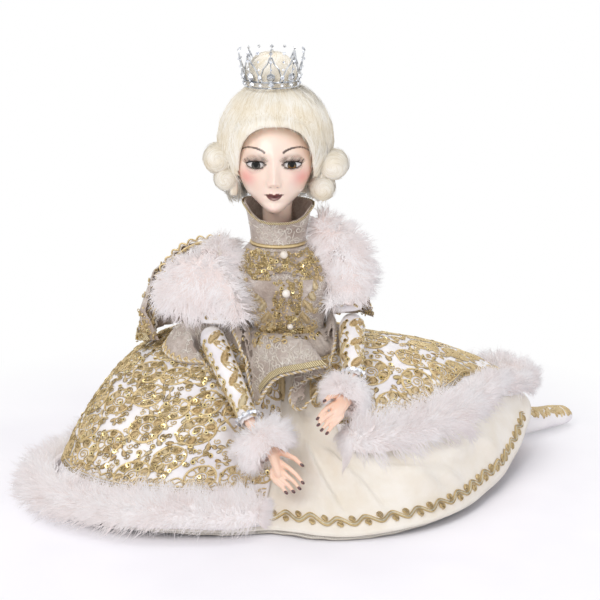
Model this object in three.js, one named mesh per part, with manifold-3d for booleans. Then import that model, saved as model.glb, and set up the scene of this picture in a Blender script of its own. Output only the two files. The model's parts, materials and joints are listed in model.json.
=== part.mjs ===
// A sitting lady doll in court dress: porcelain head and hands, stuffed body, fur-trimmed skirts.
// Millimetres, +Z up, the doll faces -Y. The origin is on the floor under the stuffed seat.
// Right and left are the doll's own: its right hand is at negative X.
import * as THREE from "three";
import { mergeVertices } from "three/addons/utils/BufferGeometryUtils.js";
import Module from "manifold-3d";

const wasm = await Module();
wasm.setup();

// Clearances
const SEAT_GAP = 0.35;
const SWING_GAP = 0.9;

// Head and neck
const NECK = { x: 2, y: -2 };
const HEAD = { x: 1.5, y: -3, z: 263, halfWidth: 31, halfDepth: 33.5, halfHeight: 37 };
const NECK_RADIUS = 11.5;
const NECK_FOOT = 211.5;
const NECK_SHELF = NECK_FOOT + 3.5;
const NECK_BORE = 5.2;
const SHANK_RADIUS = 2;
const SHANK_BORE = 2.6;
const FELT_THICKNESS = 2.2;
const EYE = { radius: 7.2, spacing: 27.4, z: 265.8, y: -28.4 };
const EYELID = { halfWidth: 7, rise: 3.4, drop: 2.7 };
const LASH = { depth: 2.2, thickness: 0.6 };

// Hair and crown
const CAP = { x: 2, y: 4, z: 278, halfWidth: 43.5, halfDepth: 43, halfHeight: 46 };
const FACE_WINDOW = { halfWidth: 28, top: 294, centre: 262, back: -13 };
const BUN = { x: -2, y: 0, z: CAP.z + CAP.halfHeight + 4, radius: 18.6, halfHeight: 19 };
const CURL_MOUTH = 0.42;
const CURL_SIDES = 10;
const CURL_GAP = 0.8;
const CURLS = {
  right_upper: { x: -43.5, y: -5, z: 266, radius: 10.4, length: 27 },
  right_lower: { x: -37.5, y: -6, z: 250.5, radius: 8.2, length: 22 },
  left_upper: { x: 45.9, y: -5, z: 261, radius: 10.6, length: 27 },
  left_lower: { x: 37.4, y: -6, z: 243, radius: 8.6, length: 22 },
};
const BACK_HAIR = { inner: 31.5, outer: 37.5, foot: 231, rise: 6, openHalfAngle: 72 };
const CROWN = { radius: 20.8, foot: BUN.z - 6.3, flare: 0.17, band: 4.6, wire: 0.62, points: 8, height: 27.5 };
const CROWN_LOOP = { radius: 3.1, lift: 8.4, stone: 2.4, finial: 1.7 };

// Torso
const BODICE_WALL = 2.6;
const BODICE_TOP = 198;
const SHOULDER_LINE = 176;
const COLLAR = { back: 230, dip: 10, baseRadius: 21.6, rimRadius: 27.5, wall: 1.6, seatX: 3, seatY: -3 };
const TRIM_WIDTH = 3.2;
const TRIM_THICKNESS = 1;
const LACE_THICKNESS = 0.9;
const PEARL_RADII = [3.1, 3.3, 2.4];
const PEARL_HEIGHTS = [194, 166, 136];

// Skirts
const WAIST = { x: 11, y: -1, z: 123, radius: 29 };
const CLOTH = 1.6;
const LAYER_GAP = 1.2;
const PETTICOAT_WALL = 3;
const HEM_REST = 7;
const FUR_HEM = { halfWidth: 17, height: 22, lift: 3 };
const GIMP = { width: 9, thickness: 1.4, inset: 12, lift: 1.2 };
const FLOOR_GAP = 0.6;
const BEARINGS = { frontRight: 260, frontLeft: 300, ankle: 15 };

// Arms, forward swing at the shoulder and the elbow, and the outward swing of the free shin
const ARMS = {
  right: {
    shoulder: [-45, -5, 187],
    elbow: [-49, -27, 126],
    wrist: [-17, -82, 73],
    palm: [0, -96, 53],
    ballRadius: 11.4,
  },
  left: {
    shoulder: [52, -5, 186],
    elbow: [61, -18, 134],
    wrist: [60, -68, 104],
    palm: [53, -80, 93],
    ballRadius: 10,
  },
};
const ARM_RADIUS = 8;
const CUFF_SIZES = { right: 22, left: 17 };
const SLEEVE = { wall: 2, elbow: 10.2, wrist: 7.4, joint: 0.6 };
const SHOULDER_RANGE = 25;
const HEAD_RANGE = 20;
const KNEE_RANGE = 5;
const KNEE = [136, -16, 53];

// Small helpers
const turn = THREE.MathUtils.degToRad;
const vec = (p) => new THREE.Vector3(p[0], p[1], p[2]);
const mix = THREE.MathUtils.lerp;
const bell = (x, width) => Math.exp(-((x / width) ** 2));
const rise = THREE.MathUtils.smoothstep;
const ease = (x, from, to) => (from < to ? rise(x, from, to) : 1 - rise(x, to, from));

function onlyPositions(geometry) {
  const bare = geometry.clone();
  for (const name of Object.keys(bare.attributes)) {
    if (name !== "position") bare.deleteAttribute(name);
  }
  return mergeVertices(bare, 1e-4);
}

function signedVolume(positions, index) {
  let sum = 0;
  const a = new THREE.Vector3();
  const b = new THREE.Vector3();
  const c = new THREE.Vector3();
  for (let i = 0; i < index.length; i += 3) {
    a.fromArray(positions, index[i] * 3);
    b.fromArray(positions, index[i + 1] * 3);
    c.fromArray(positions, index[i + 2] * 3);
    sum += a.dot(b.cross(c));
  }
  return sum / 6;
}

// A closed geometry with welded points, its faces pointing out and no collapsed triangles.
function facingOut(geometry) {
  const welded = onlyPositions(geometry);
  const kept = [];
  const index = welded.index.array;
  for (let i = 0; i < index.length; i += 3) {
    const [a, b, c] = [index[i], index[i + 1], index[i + 2]];
    if (a !== b && b !== c && c !== a) kept.push(a, b, c);
  }
  if (signedVolume(welded.attributes.position.array, kept) < 0) {
    for (let i = 0; i < kept.length; i += 3) {
      [kept[i + 1], kept[i + 2]] = [kept[i + 2], kept[i + 1]];
    }
  }
  welded.setIndex(kept);
  return welded;
}

function solidOf(geometry) {
  const closed = facingOut(geometry);
  const mesh = new wasm.Mesh({
    numProp: 3,
    vertProperties: new Float32Array(closed.attributes.position.array),
    triVerts: new Uint32Array(closed.index.array),
  });
  mesh.merge();
  return new wasm.Manifold(mesh);
}

function geometryOf(solid) {
  const mesh = solid.getMesh();
  const geometry = new THREE.BufferGeometry();
  geometry.setAttribute("position", new THREE.BufferAttribute(new Float32Array(mesh.vertProperties), 3));
  geometry.setIndex(new THREE.BufferAttribute(new Uint32Array(mesh.triVerts), 1));
  return geometry;
}

// Keeps the largest body of a solid, so that slivers left by a cut are dropped.
function mainBody(solid) {
  const bodies = solid.decompose();
  bodies.sort((a, b) => b.volume() - a.volume());
  return bodies[0];
}

// A copy of a closed geometry with its skin moved out by a gap.
function grown(geometry, gap) {
  const fat = facingOut(geometry);
  fat.computeVertexNormals();
  const place = fat.attributes.position;
  const normal = fat.attributes.normal;
  for (let i = 0; i < place.count; i += 1) {
    place.setXYZ(
      i,
      place.getX(i) + normal.getX(i) * gap,
      place.getY(i) + normal.getY(i) * gap,
      place.getZ(i) + normal.getZ(i) * gap,
    );
  }
  return fat;
}

function turned(geometry, pivot, axis, degrees) {
  const copy = geometry.clone();
  copy.translate(-pivot[0], -pivot[1], -pivot[2]);
  copy.applyMatrix4(new THREE.Matrix4().makeRotationAxis(vec(axis), turn(degrees)));
  copy.translate(pivot[0], pivot[1], pivot[2]);
  return copy;
}

const COARSE = 0.03;

function cut(geometry, others, gap = SEAT_GAP, coarse = COARSE) {
  let solid = solidOf(geometry);
  for (const other of others) {
    solid = solid.subtract(solidOf(other));
    if (gap) solid = solid.subtract(solidOf(grown(other, gap)));
  }
  return geometryOf(mainBody(mainBody(solid).simplify(coarse)));
}

function join(geometries) {
  let solid = solidOf(geometries[0]);
  for (const other of geometries.slice(1)) solid = solid.add(solidOf(other));
  return geometryOf(solid.simplify(COARSE / 2));
}

// A skin through rings of equal count, closed at both ends or joined into a hoop.
function loft(rings, hoop = false) {
  const count = rings[0].length;
  const positions = [];
  for (const ring of rings) {
    for (const p of ring) positions.push(p.x, p.y, p.z);
  }
  const index = [];
  const last = hoop ? rings.length : rings.length - 1;
  for (let i = 0; i < last; i += 1) {
    const next = (i + 1) % rings.length;
    for (let j = 0; j < count; j += 1) {
      const k = (j + 1) % count;
      const [a, b, c, d] = [i * count + j, i * count + k, next * count + k, next * count + j];
      index.push(a, b, c, a, c, d);
    }
  }
  if (!hoop) {
    for (const [row, flip] of [[0, true], [rings.length - 1, false]]) {
      const centre = new THREE.Vector3();
      for (const p of rings[row]) centre.add(p);
      centre.divideScalar(count);
      const hub = positions.length / 3;
      positions.push(centre.x, centre.y, centre.z);
      for (let j = 0; j < count; j += 1) {
        const a = row * count + j;
        const b = row * count + ((j + 1) % count);
        index.push(...(flip ? [b, a, hub] : [a, b, hub]));
      }
    }
  }
  const geometry = new THREE.BufferGeometry();
  geometry.setAttribute("position", new THREE.Float32BufferAttribute(positions, 3));
  geometry.setIndex(index);
  return geometry;
}

function hoopRing(centre, across, up, halfAcross, halfUp, sides) {
  const ring = [];
  for (let j = 0; j < sides; j += 1) {
    const a = (j / sides) * Math.PI * 2;
    const p = centre.clone();
    p.addScaledVector(across, Math.cos(a) * halfAcross);
    p.addScaledVector(up, Math.sin(a) * halfUp);
    ring.push(p);
  }
  return ring;
}

// A tapered round form along stations [x, y, z, radius], with domed ends. Flat is height over width.
function limb(stations, { sides = 12, steps = 10, flat = 1, dome = 2 } = {}) {
  const route = new THREE.CatmullRomCurve3(stations.map(vec), false, "centripetal");
  const frames = route.computeFrenetFrames(steps, false);
  const rings = [];
  const radiusAt = (t) => {
    const f = t * (stations.length - 1);
    const i = Math.min(Math.floor(f), stations.length - 2);
    return mix(stations[i][3], stations[i + 1][3], ease(f - i, 0, 1));
  };
  for (let i = 0; i <= steps; i += 1) {
    const t = i / steps;
    const centre = route.getPoint(t);
    const radius = radiusAt(t);
    const [across, up, along] = [frames.normals[i], frames.binormals[i], frames.tangents[i]];
    const domes = (i === 0 || i === steps) ? dome : 0;
    const capRings = [];
    for (let k = 1; k <= domes; k += 1) {
      const a = (k / (domes + 1)) * (Math.PI / 2);
      const way = i === 0 ? -1 : 1;
      const shifted = centre.clone().addScaledVector(along, way * Math.sin(a) * radius * 0.8);
      const small = radius * Math.cos(a);
      capRings.push(hoopRing(shifted, across, up, small, small * flat, sides));
    }
    const own = hoopRing(centre, across, up, radius, radius * flat, sides);
    if (i === 0) rings.push(...capRings.reverse(), own);
    else rings.push(own, ...capRings);
  }
  return loft(rings);
}

// A closed wire through points, round in section.
function wire(points, radius, { steps = 16, sides = 5, closed = false } = {}) {
  const route = new THREE.CatmullRomCurve3(points.map(vec), closed, "centripetal");
  const frames = route.computeFrenetFrames(steps, closed);
  const rings = [];
  for (let i = 0; i < (closed ? steps : steps + 1); i += 1) {
    const [across, up] = [frames.normals[i], frames.binormals[i]];
    rings.push(hoopRing(route.getPoint(i / steps), across, up, radius, radius, sides));
  }
  return loft(rings, closed);
}

// A revolved form about a vertical line, from a profile of [radius, height].
function revolved(profile, centre, sides = 28) {
  const turnedProfile = new THREE.LatheGeometry(profile.map((p) => new THREE.Vector2(p[0], p[1])), sides);
  turnedProfile.rotateX(Math.PI / 2);
  turnedProfile.translate(centre.x, centre.y, 0);
  return turnedProfile;
}

// A cloth of even thickness between an outer skin and an inner one, over u and v from 0 to 1.
function cloth(nu, nv, outer, inner, roundU = false) {
  const columns = roundU ? nu : nu + 1;
  const positions = [];
  for (const skin of [outer, inner]) {
    for (let i = 0; i < columns; i += 1) {
      for (let j = 0; j <= nv; j += 1) {
        const p = skin(i / nu, j / nv);
        positions.push(p.x, p.y, p.z);
      }
    }
  }
  const size = columns * (nv + 1);
  const at = (layer, i, j) => layer * size + (i % columns) * (nv + 1) + j;
  const index = [];
  const quad = (a, b, c, d) => index.push(a, b, c, a, c, d);
  for (let i = 0; i < nu; i += 1) {
    for (let j = 0; j < nv; j += 1) {
      quad(at(0, i, j), at(0, i + 1, j), at(0, i + 1, j + 1), at(0, i, j + 1));
      quad(at(1, i, j), at(1, i, j + 1), at(1, i + 1, j + 1), at(1, i + 1, j));
    }
    quad(at(0, i, 0), at(1, i, 0), at(1, i + 1, 0), at(0, i + 1, 0));
    quad(at(0, i, nv), at(0, i + 1, nv), at(1, i + 1, nv), at(1, i, nv));
  }
  if (!roundU) {
    for (let j = 0; j < nv; j += 1) {
      quad(at(0, 0, j), at(0, 0, j + 1), at(1, 0, j + 1), at(1, 0, j));
      quad(at(0, nu, j), at(1, nu, j), at(1, nu, j + 1), at(0, nu, j + 1));
    }
  }
  const geometry = new THREE.BufferGeometry();
  geometry.setAttribute("position", new THREE.Float32BufferAttribute(positions, 3));
  geometry.setIndex(index);
  return geometry;
}

// A revolved form about the line from one point towards another; profile of [radius, distance].
function revolvedAlong(profile, from, towards, sides = 14) {
  const form = new THREE.LatheGeometry(profile.map((p) => new THREE.Vector2(p[0], p[1])), sides);
  const along = vec(towards).sub(vec(from)).normalize();
  form.applyQuaternion(new THREE.Quaternion().setFromUnitVectors(new THREE.Vector3(0, 1, 0), along));
  form.translate(from[0], from[1], from[2]);
  return form;
}

// A closed globe whose skin is given by bearing (0 at the front) and elevation, both in radians.
function globe(columns, rows, skin, crowd = 0) {
  const rings = [];
  for (let i = 1; i < rows; i += 1) {
    const elevation = (i / rows - 0.5) * Math.PI;
    const ring = [];
    for (let j = 0; j < columns; j += 1) {
      const t = (j / columns) * Math.PI * 2 - Math.PI;
      ring.push(skin(t - crowd * Math.sin(t), elevation));
    }
    rings.push(ring);
  }
  return loft(rings);
}

function ballAt(p, radius, columns = 12, rows = 8) {
  const ball = new THREE.SphereGeometry(radius, columns, rows);
  ball.translate(p[0], p[1], p[2]);
  return ball;
}

// Head
function headSkin(bearing, elevation) {
  const side = Math.sin(bearing) * Math.cos(elevation);
  const front = Math.cos(bearing) * Math.cos(elevation);
  const height = Math.sin(elevation);
  const jaw = 1 - 0.3 * ease(-height, 0.15, 0.95);
  const x = side * HEAD.halfWidth * jaw;
  const z = height * HEAD.halfHeight;
  let y = -front * HEAD.halfDepth * (front < 0 ? 1 : 1 - 0.04 * ease(height, 0.2, 0.9));
  const ahead = ease(front, 0.15, 0.6);
  const noseLift = ease(z, 9, -9.5) * ease(z, -14.5, -10.5);
  let relief = 6.4 * noseLift * bell(x, 3.4);
  relief += 1.2 * bell(x, 2.6) * bell(z - 4, 9);
  relief += 1.6 * bell(x, 5.6) * bell(z + 12.5, 2.4);
  relief -= 2.6 * (bell(x - EYE.spacing / 2, 7) + bell(x + EYE.spacing / 2, 7)) * bell(z - 2.6, 5.4);
  relief += 0.9 * bell(Math.abs(x) - 13, 8) * bell(z - 10, 3.6);
  relief += 1.3 * bell(Math.abs(x) - 15, 8) * bell(z + 8, 8);
  relief += 2.6 * bell(x, 6.2) * bell(z + 20.4, 2.1);
  relief += 2.2 * bell(x, 5) * bell(z + 24.2, 1.9);
  relief -= 0.9 * bell(x, 7) * bell(z + 27.4, 2);
  relief += 3 * bell(x, 7.5) * bell(z + 32, 4.6);
  y -= relief * ahead;
  return new THREE.Vector3(HEAD.x + x, HEAD.y + y, HEAD.z + z);
}

function makeHeadBlank() {
  const skull = globe(24, 20, headSkin, 0.58);
  const neck = revolved([
    [0, NECK_FOOT], [NECK_RADIUS - 1.5, NECK_FOOT], [NECK_RADIUS, NECK_FOOT + 2], [NECK_RADIUS, 226],
    [NECK_RADIUS + 1.5, 236], [NECK_RADIUS, 246], [0, 246],
  ], NECK, 18);
  const bore = revolved([
    [0, NECK_FOOT - 1], [SHANK_BORE, NECK_FOOT - 1], [SHANK_BORE, NECK_SHELF], [NECK_BORE, NECK_SHELF],
    [NECK_BORE, 231], [0, 231],
  ], NECK, 12);
  return geometryOf(solidOf(join([skull, neck])).subtract(solidOf(bore)));
}

function eyeCentre(side) {
  return [HEAD.x + (side * EYE.spacing) / 2, EYE.y, EYE.z];
}

function makeEyelidCut(side) {
  const almond = new THREE.Shape();
  almond.moveTo(-EYELID.halfWidth, 0);
  almond.quadraticCurveTo(0, -2 * EYELID.drop, EYELID.halfWidth, 0);
  almond.quadraticCurveTo(0, 2 * EYELID.rise, -EYELID.halfWidth, 0);
  const slot = new THREE.ExtrudeGeometry(almond, { depth: 20, bevelEnabled: false, curveSegments: 7 });
  slot.rotateX(Math.PI / 2);
  slot.translate(HEAD.x + (side * EYE.spacing) / 2, EYE.y, EYE.z);
  return slot;
}

function makeLash(side) {
  const reach = EYELID.halfWidth - 1;
  const line = (u) => {
    const x = (u - 0.5) * 2 * reach;
    const lift = EYELID.rise * (1 - (x / EYELID.halfWidth) ** 2);
    return new THREE.Vector3(eyeCentre(side)[0] + x, 0, EYE.z + lift - 0.9);
  };
  const skin = (lower) => (u, v) => {
    const p = line(u);
    const back = EYE.radius + SEAT_GAP;
    const off = Math.hypot(p.x - eyeCentre(side)[0], p.z - EYE.z);
    p.y = EYE.y - Math.sqrt(back * back - off * off) - v * LASH.depth;
    p.z -= lower ? LASH.thickness : 0;
    return p;
  };
  return cloth(6, 1, skin(false), skin(true));
}

// Hair
const SCALP_GAP = 1.5;

function makeCap() {
  const cap = globe(20, 12, (b, e) => {
    const wave = 1 + 0.02 * Math.cos(9 * b) * Math.cos(e) * ease(e, -0.2, 0.3);
    return new THREE.Vector3(
      CAP.x + Math.sin(b) * Math.cos(e) * CAP.halfWidth * wave,
      CAP.y - Math.cos(b) * Math.cos(e) * CAP.halfDepth * wave,
      CAP.z + Math.sin(e) * CAP.halfHeight,
    );
  });
  const window = new THREE.Shape();
  const { halfWidth, top, centre, back } = FACE_WINDOW;
  window.moveTo(-halfWidth, 190);
  window.lineTo(halfWidth, 190);
  window.lineTo(halfWidth, centre);
  window.bezierCurveTo(halfWidth, top - 6, 16, top, 0, top);
  window.bezierCurveTo(-16, top, -halfWidth, top - 6, -halfWidth, centre);
  const opening = new THREE.ExtrudeGeometry(window, { depth: 60, bevelEnabled: false, curveSegments: 7 });
  opening.rotateX(Math.PI / 2);
  opening.translate(HEAD.x, back, 0);
  const scalp = new THREE.SphereGeometry(1, 20, 14);
  scalp.scale(HEAD.halfWidth, HEAD.halfHeight, HEAD.halfDepth);
  scalp.rotateX(Math.PI / 2);
  scalp.translate(HEAD.x, HEAD.y, HEAD.z);
  const nape = revolved([[0, 220], [NECK_RADIUS + 3, 220], [NECK_RADIUS + 3, 250], [0, 250]], NECK, 16);
  return cut(cut(cap, [opening], 0), [scalp, nape], SCALP_GAP, 0.12);
}

// The underside of the wig cap above a point of the floor plan.
function capUnderside(x, y) {
  const off = Math.hypot((x - CAP.x) / CAP.halfWidth, (y - CAP.y) / CAP.halfDepth);
  return CAP.z - CAP.halfHeight * Math.sqrt(Math.max(0, 1 - off * off));
}

function makeBun() {
  return globe(16, 10, (b, e) => new THREE.Vector3(
    BUN.x + Math.sin(b) * Math.cos(e) * BUN.radius,
    BUN.y - Math.cos(b) * Math.cos(e) * BUN.radius,
    BUN.z + Math.sin(e) * BUN.halfHeight,
  ));
}

// A side roll lies front to back, with a hollow at each end where the hair winds in.
function makeCurl({ x, y, z, radius, length }) {
  const half = length / 2;
  const mouth = radius * CURL_MOUTH;
  const roll = new THREE.LatheGeometry([
    [0, -half + 3.4], [mouth, -half + 1.6], [radius * 0.72, -half], [radius * 0.95, -half + 3], [radius, 0],
    [radius * 0.95, half - 3], [radius * 0.72, half], [mouth, half - 1.6], [0, half - 3.4],
  ].map((p) => new THREE.Vector2(p[0], p[1])), CURL_SIDES);
  roll.translate(x, y, z);
  return roll;
}

function makeBackHair() {
  const open = turn(BACK_HAIR.openHalfAngle);
  const skin = (radius, swell) => (u, v) => {
    const b = mix(open, Math.PI * 2 - open, u);
    const r = radius + swell * Math.sin(Math.PI * u) * (1 + 0.5 * Math.cos(b * 10));
    const x = NECK.x + Math.sin(b) * r;
    const y = NECK.y - Math.cos(b) * r;
    const foot = BACK_HAIR.foot + BACK_HAIR.rise * (1 - Math.sin(Math.PI * u));
    return new THREE.Vector3(x, y, mix(foot, capUnderside(x, y), v));
  };
  return cloth(18, 2, skin(BACK_HAIR.outer, 1.5), skin(BACK_HAIR.inner, 0));
}

// Crown: two hoops with stones between them, and a pierced loop with a stone at each point.
function makeCrown() {
  const at = (bearing, height, shift = 0) => {
    const r = CROWN.radius + CROWN.flare * height;
    const a = bearing + shift / r;
    return [BUN.x + Math.sin(a) * r, BUN.y - Math.cos(a) * r, CROWN.foot + height];
  };
  const hoop = (height) => {
    const points = [];
    for (let i = 0; i < CROWN.points * 2; i += 1) points.push(at((i * Math.PI) / CROWN.points, height));
    return wire(points, CROWN.wire * 1.15, { steps: CROWN.points * 3, sides: 4, closed: true });
  };
  const stone = (bearing, height, radius) => {
    const cutStone = new THREE.OctahedronGeometry(radius);
    cutStone.scale(1, 0.6, 1);
    cutStone.rotateZ(bearing);
    const p = at(bearing, height);
    cutStone.translate(p[0], p[1], p[2]);
    return cutStone;
  };
  const parts = [hoop(0), hoop(CROWN.band)];
  const halfPitch = (Math.PI * CROWN.radius) / CROWN.points;
  const h = CROWN.height;
  for (let i = 0; i < CROWN.points; i += 1) {
    const bearing = (i * 2 * Math.PI) / CROWN.points;
    const loop = [
      [-0.86, CROWN.band], [-0.98, h * 0.36], [-0.62, h * 0.6], [-0.2, h * 0.74], [0, h - 1],
      [0.2, h * 0.74], [0.62, h * 0.6], [0.98, h * 0.36], [0.86, CROWN.band],
    ].map(([s, lift]) => at(bearing, lift, s * halfPitch));
    parts.push(wire(loop, CROWN.wire, { steps: 9, sides: 4 }));
    const ring = [];
    for (let k = 0; k < 6; k += 1) {
      const a = ((k + 0.5) / 6) * Math.PI * 2;
      const lift = CROWN_LOOP.lift + Math.sin(a) * CROWN_LOOP.radius;
      ring.push(at(bearing, lift, Math.cos(a) * CROWN_LOOP.radius));
    }
    parts.push(wire(ring, CROWN.wire, { steps: 6, sides: 3, closed: true }));
    parts.push(wire([
      at(bearing, CROWN_LOOP.lift + CROWN_LOOP.radius),
      at(bearing, h * 0.66),
      at(bearing, h - 1),
    ], CROWN.wire * 0.9, { steps: 2, sides: 3 }));
    parts.push(stone(bearing, CROWN_LOOP.lift, CROWN_LOOP.stone + 0.9));
    parts.push(stone(bearing, h - 0.5, CROWN_LOOP.finial));
    parts.push(stone(bearing, CROWN.band / 2, CROWN.band / 2 + 0.5));
  }
  return geometryOf(solidOf(join(parts)).simplify(CROWN.wire / 5));
}

// Neck fittings: the bolt pulls the head down onto the shoulder plate through a spring and a felt.
const BOLT = { foot: NECK_FOOT - 18.5, nutRadius: 5, nutHeight: 3.6, capFoot: NECK_SHELF + 8.5, capRadius: 4.4, capHeight: 2.4 };
const PLATE_CAVITY = { radius: 8, top: BOLT.foot + BOLT.nutHeight + SEAT_GAP };

function makeNeckBolt() {
  const nutTop = BOLT.foot + BOLT.nutHeight;
  const capTop = BOLT.capFoot + BOLT.capHeight;
  return revolved([
    [0, BOLT.foot], [BOLT.nutRadius, BOLT.foot], [BOLT.nutRadius, nutTop], [SHANK_RADIUS, nutTop],
    [SHANK_RADIUS, BOLT.capFoot], [BOLT.capRadius, BOLT.capFoot], [BOLT.capRadius, capTop], [0, capTop],
  ], NECK, 12);
}

function makeNeckSpring() {
  const turns = 3;
  const steps = 20;
  const gauge = 0.65;
  const low = NECK_SHELF + gauge + SEAT_GAP;
  const high = BOLT.capFoot - gauge - SEAT_GAP;
  const r = (SHANK_RADIUS + NECK_BORE) / 2;
  const points = [];
  for (let i = 0; i <= steps; i += 1) {
    const a = (i / steps) * turns * Math.PI * 2;
    points.push([NECK.x + Math.cos(a) * r, NECK.y + Math.sin(a) * r, mix(low, high, i / steps)]);
  }
  return wire(points, gauge, { steps: 20, sides: 4 });
}

const feltTop = NECK_FOOT - SEAT_GAP;
const feltFoot = feltTop - FELT_THICKNESS;
const plateTop = feltFoot - SEAT_GAP;

function makeNeckFelt() {
  const rim = NECK_RADIUS - 0.5;
  return revolved([
    [SHANK_BORE, feltFoot], [rim, feltFoot], [rim, feltTop], [SHANK_BORE, feltTop], [SHANK_BORE, feltFoot],
  ], NECK, 16);
}

// Torso. Bodice rows: height, centre x and y, half width and half depth.
const BODICE_LEVELS = [
  [120, 11.5, -1, 28.6, 20], [132, 10.5, -2, 29, 21.5], [150, 8.5, -5, 33, 26], [166, 6.5, -7, 37.5, 29],
  [SHOULDER_LINE, 5.2, -6.4, 38.4, 26], [188, 3.6, -4.2, 34, 20.6], [BODICE_TOP, 3, -3, 23.2, 22.4],
];
const PELVIS_LEVELS = [[0, 17, 6, 38, 33], [26, 17, 5, 44, 38], [62, 15, 3, 38, 30], [98, 12, 0, 27, 19]];

function levelAt(levels, z) {
  let i = 0;
  while (i < levels.length - 2 && z > levels[i + 1][0]) i += 1;
  const t = THREE.MathUtils.clamp((z - levels[i][0]) / (levels[i + 1][0] - levels[i][0]), 0, 1);
  return levels[i].map((value, k) => mix(value, levels[i + 1][k], t));
}

// A point outside the bodice at a bearing from the front (positive to the doll's left).
function overBodice(bearing, z, out) {
  const [, x, y, halfWidth, halfDepth] = levelAt(BODICE_LEVELS, z);
  return new THREE.Vector3(
    x + Math.sin(bearing) * (halfWidth + out),
    y - Math.cos(bearing) * (halfDepth + out),
    z,
  );
}

function insideBodice(level) {
  const [z, x, y, halfWidth, halfDepth] = level;
  const inset = BODICE_WALL + SEAT_GAP;
  return [z, x, y, halfWidth - inset, halfDepth - inset];
}

function levelsThrough(levels, sides) {
  const across = new THREE.Vector3(1, 0, 0);
  const deep = new THREE.Vector3(0, 1, 0);
  return loft(levels.map(([z, x, y, halfWidth, halfDepth]) => (
    hoopRing(new THREE.Vector3(x, y, z), across, deep, halfWidth, halfDepth, sides)
  )));
}

const TORSO_SIDES = 20;

function makeClothBody() {
  const inner = BODICE_LEVELS.filter((l) => l[0] <= SHOULDER_LINE).map(insideBodice);
  return levelsThrough([...PELVIS_LEVELS, ...inner], TORSO_SIDES);
}

function makeShoulderPlate() {
  const foot = insideBodice(levelAt(BODICE_LEVELS, SHOULDER_LINE));
  foot[0] += SEAT_GAP;
  const breast = insideBodice(levelAt(BODICE_LEVELS, 188));
  const bust = levelsThrough([
    foot, breast, [195, 2.6, -2.6, 17.5, 16], [201, NECK.x, NECK.y, NECK_RADIUS + 1.5, NECK_RADIUS + 1.5],
    [plateTop, NECK.x, NECK.y, NECK_RADIUS, NECK_RADIUS],
  ], TORSO_SIDES);
  const bore = revolved([
    [0, SHOULDER_LINE - 5], [PLATE_CAVITY.radius, SHOULDER_LINE - 5],
    [PLATE_CAVITY.radius, PLATE_CAVITY.top], [SHANK_BORE, PLATE_CAVITY.top],
    [SHANK_BORE, plateTop + 2], [0, plateTop + 2],
  ], NECK, 14);
  return cut(bust, [bore], 0);
}

function makeBodice() {
  const rows = BODICE_LEVELS.length - 1;
  const skin = (out) => (u, v) => {
    const f = v * rows;
    const i = Math.min(Math.floor(f), rows - 1);
    const z = mix(BODICE_LEVELS[i][0], BODICE_LEVELS[i + 1][0], f - i);
    return overBodice(u * Math.PI * 2, z, out);
  };
  return cloth(TORSO_SIDES, rows, skin(0), skin(-BODICE_WALL), true);
}

const collarFoot = BODICE_TOP + SEAT_GAP;

function collarRadius(t) {
  return COLLAR.baseRadius + (COLLAR.rimRadius - COLLAR.baseRadius) * (0.25 * t + 0.75 * t * t);
}

function collarTop(bearing) {
  const front = Math.cos(bearing);
  return COLLAR.back - COLLAR.dip * ease(front, 0.2, 1) + 2.5 * bell(Math.sin(bearing) + 1, 0.4);
}

function collarPoint(u, t, out) {
  const b = u * Math.PI * 2 - Math.PI;
  const r = collarRadius(t) + out;
  return new THREE.Vector3(
    COLLAR.seatX + Math.sin(b) * r,
    COLLAR.seatY - Math.cos(b) * r,
    mix(collarFoot, collarTop(b), t),
  );
}

function makeCollar() {
  return cloth(22, 3, (u, v) => collarPoint(u, v, 0), (u, v) => collarPoint(u, v, -COLLAR.wall), true);
}

function makeCollarBraid() {
  const edge = TRIM_WIDTH / (COLLAR.back - collarFoot);
  const skin = (out) => (u, v) => collarPoint(u, mix(1 - edge, 1, v), out);
  return cloth(22, 1, skin(2 * SEAT_GAP + TRIM_THICKNESS), skin(2 * SEAT_GAP), true);
}

const LACE_SEAT = 2.2 * SEAT_GAP;

function bodicePatch(nu, nv, bearingAt, zAt) {
  const skin = (out) => (u, v) => overBodice(bearingAt(u, v), zAt(u, v), out);
  return cloth(nu, nv, skin(LACE_SEAT + LACE_THICKNESS), skin(LACE_SEAT));
}

const YOKE = { halfAngle: 58, foot: 178, scallop: 2.4, top: 195 };

function makeYoke() {
  const { halfAngle, foot, scallop, top } = YOKE;
  const bearing = (u) => turn(mix(-halfAngle, halfAngle, u));
  return bodicePatch(12, 2, bearing, (u, v) => mix(foot + scallop * Math.cos(u * 12), top, v));
}

const LACE_FOOT = 134;

function makeFrontPoint() {
  const halfAngle = (v) => turn(mix(17, 44, v * v) + 3 * Math.cos(v * 16));
  return bodicePatch(6, 10, (u, v) => mix(-1, 1, u) * halfAngle(v), (u, v) => mix(LACE_FOOT, YOKE.foot - 3.5, v));
}

function makePearl(i) {
  const out = LACE_THICKNESS + LACE_SEAT + PEARL_RADII[i] * 0.75;
  const p = overBodice(turn(i === 0 ? 8 : 4), PEARL_HEIGHTS[i], out);
  return ballAt([p.x, p.y, p.z], PEARL_RADII[i], 9, 6);
}

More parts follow.
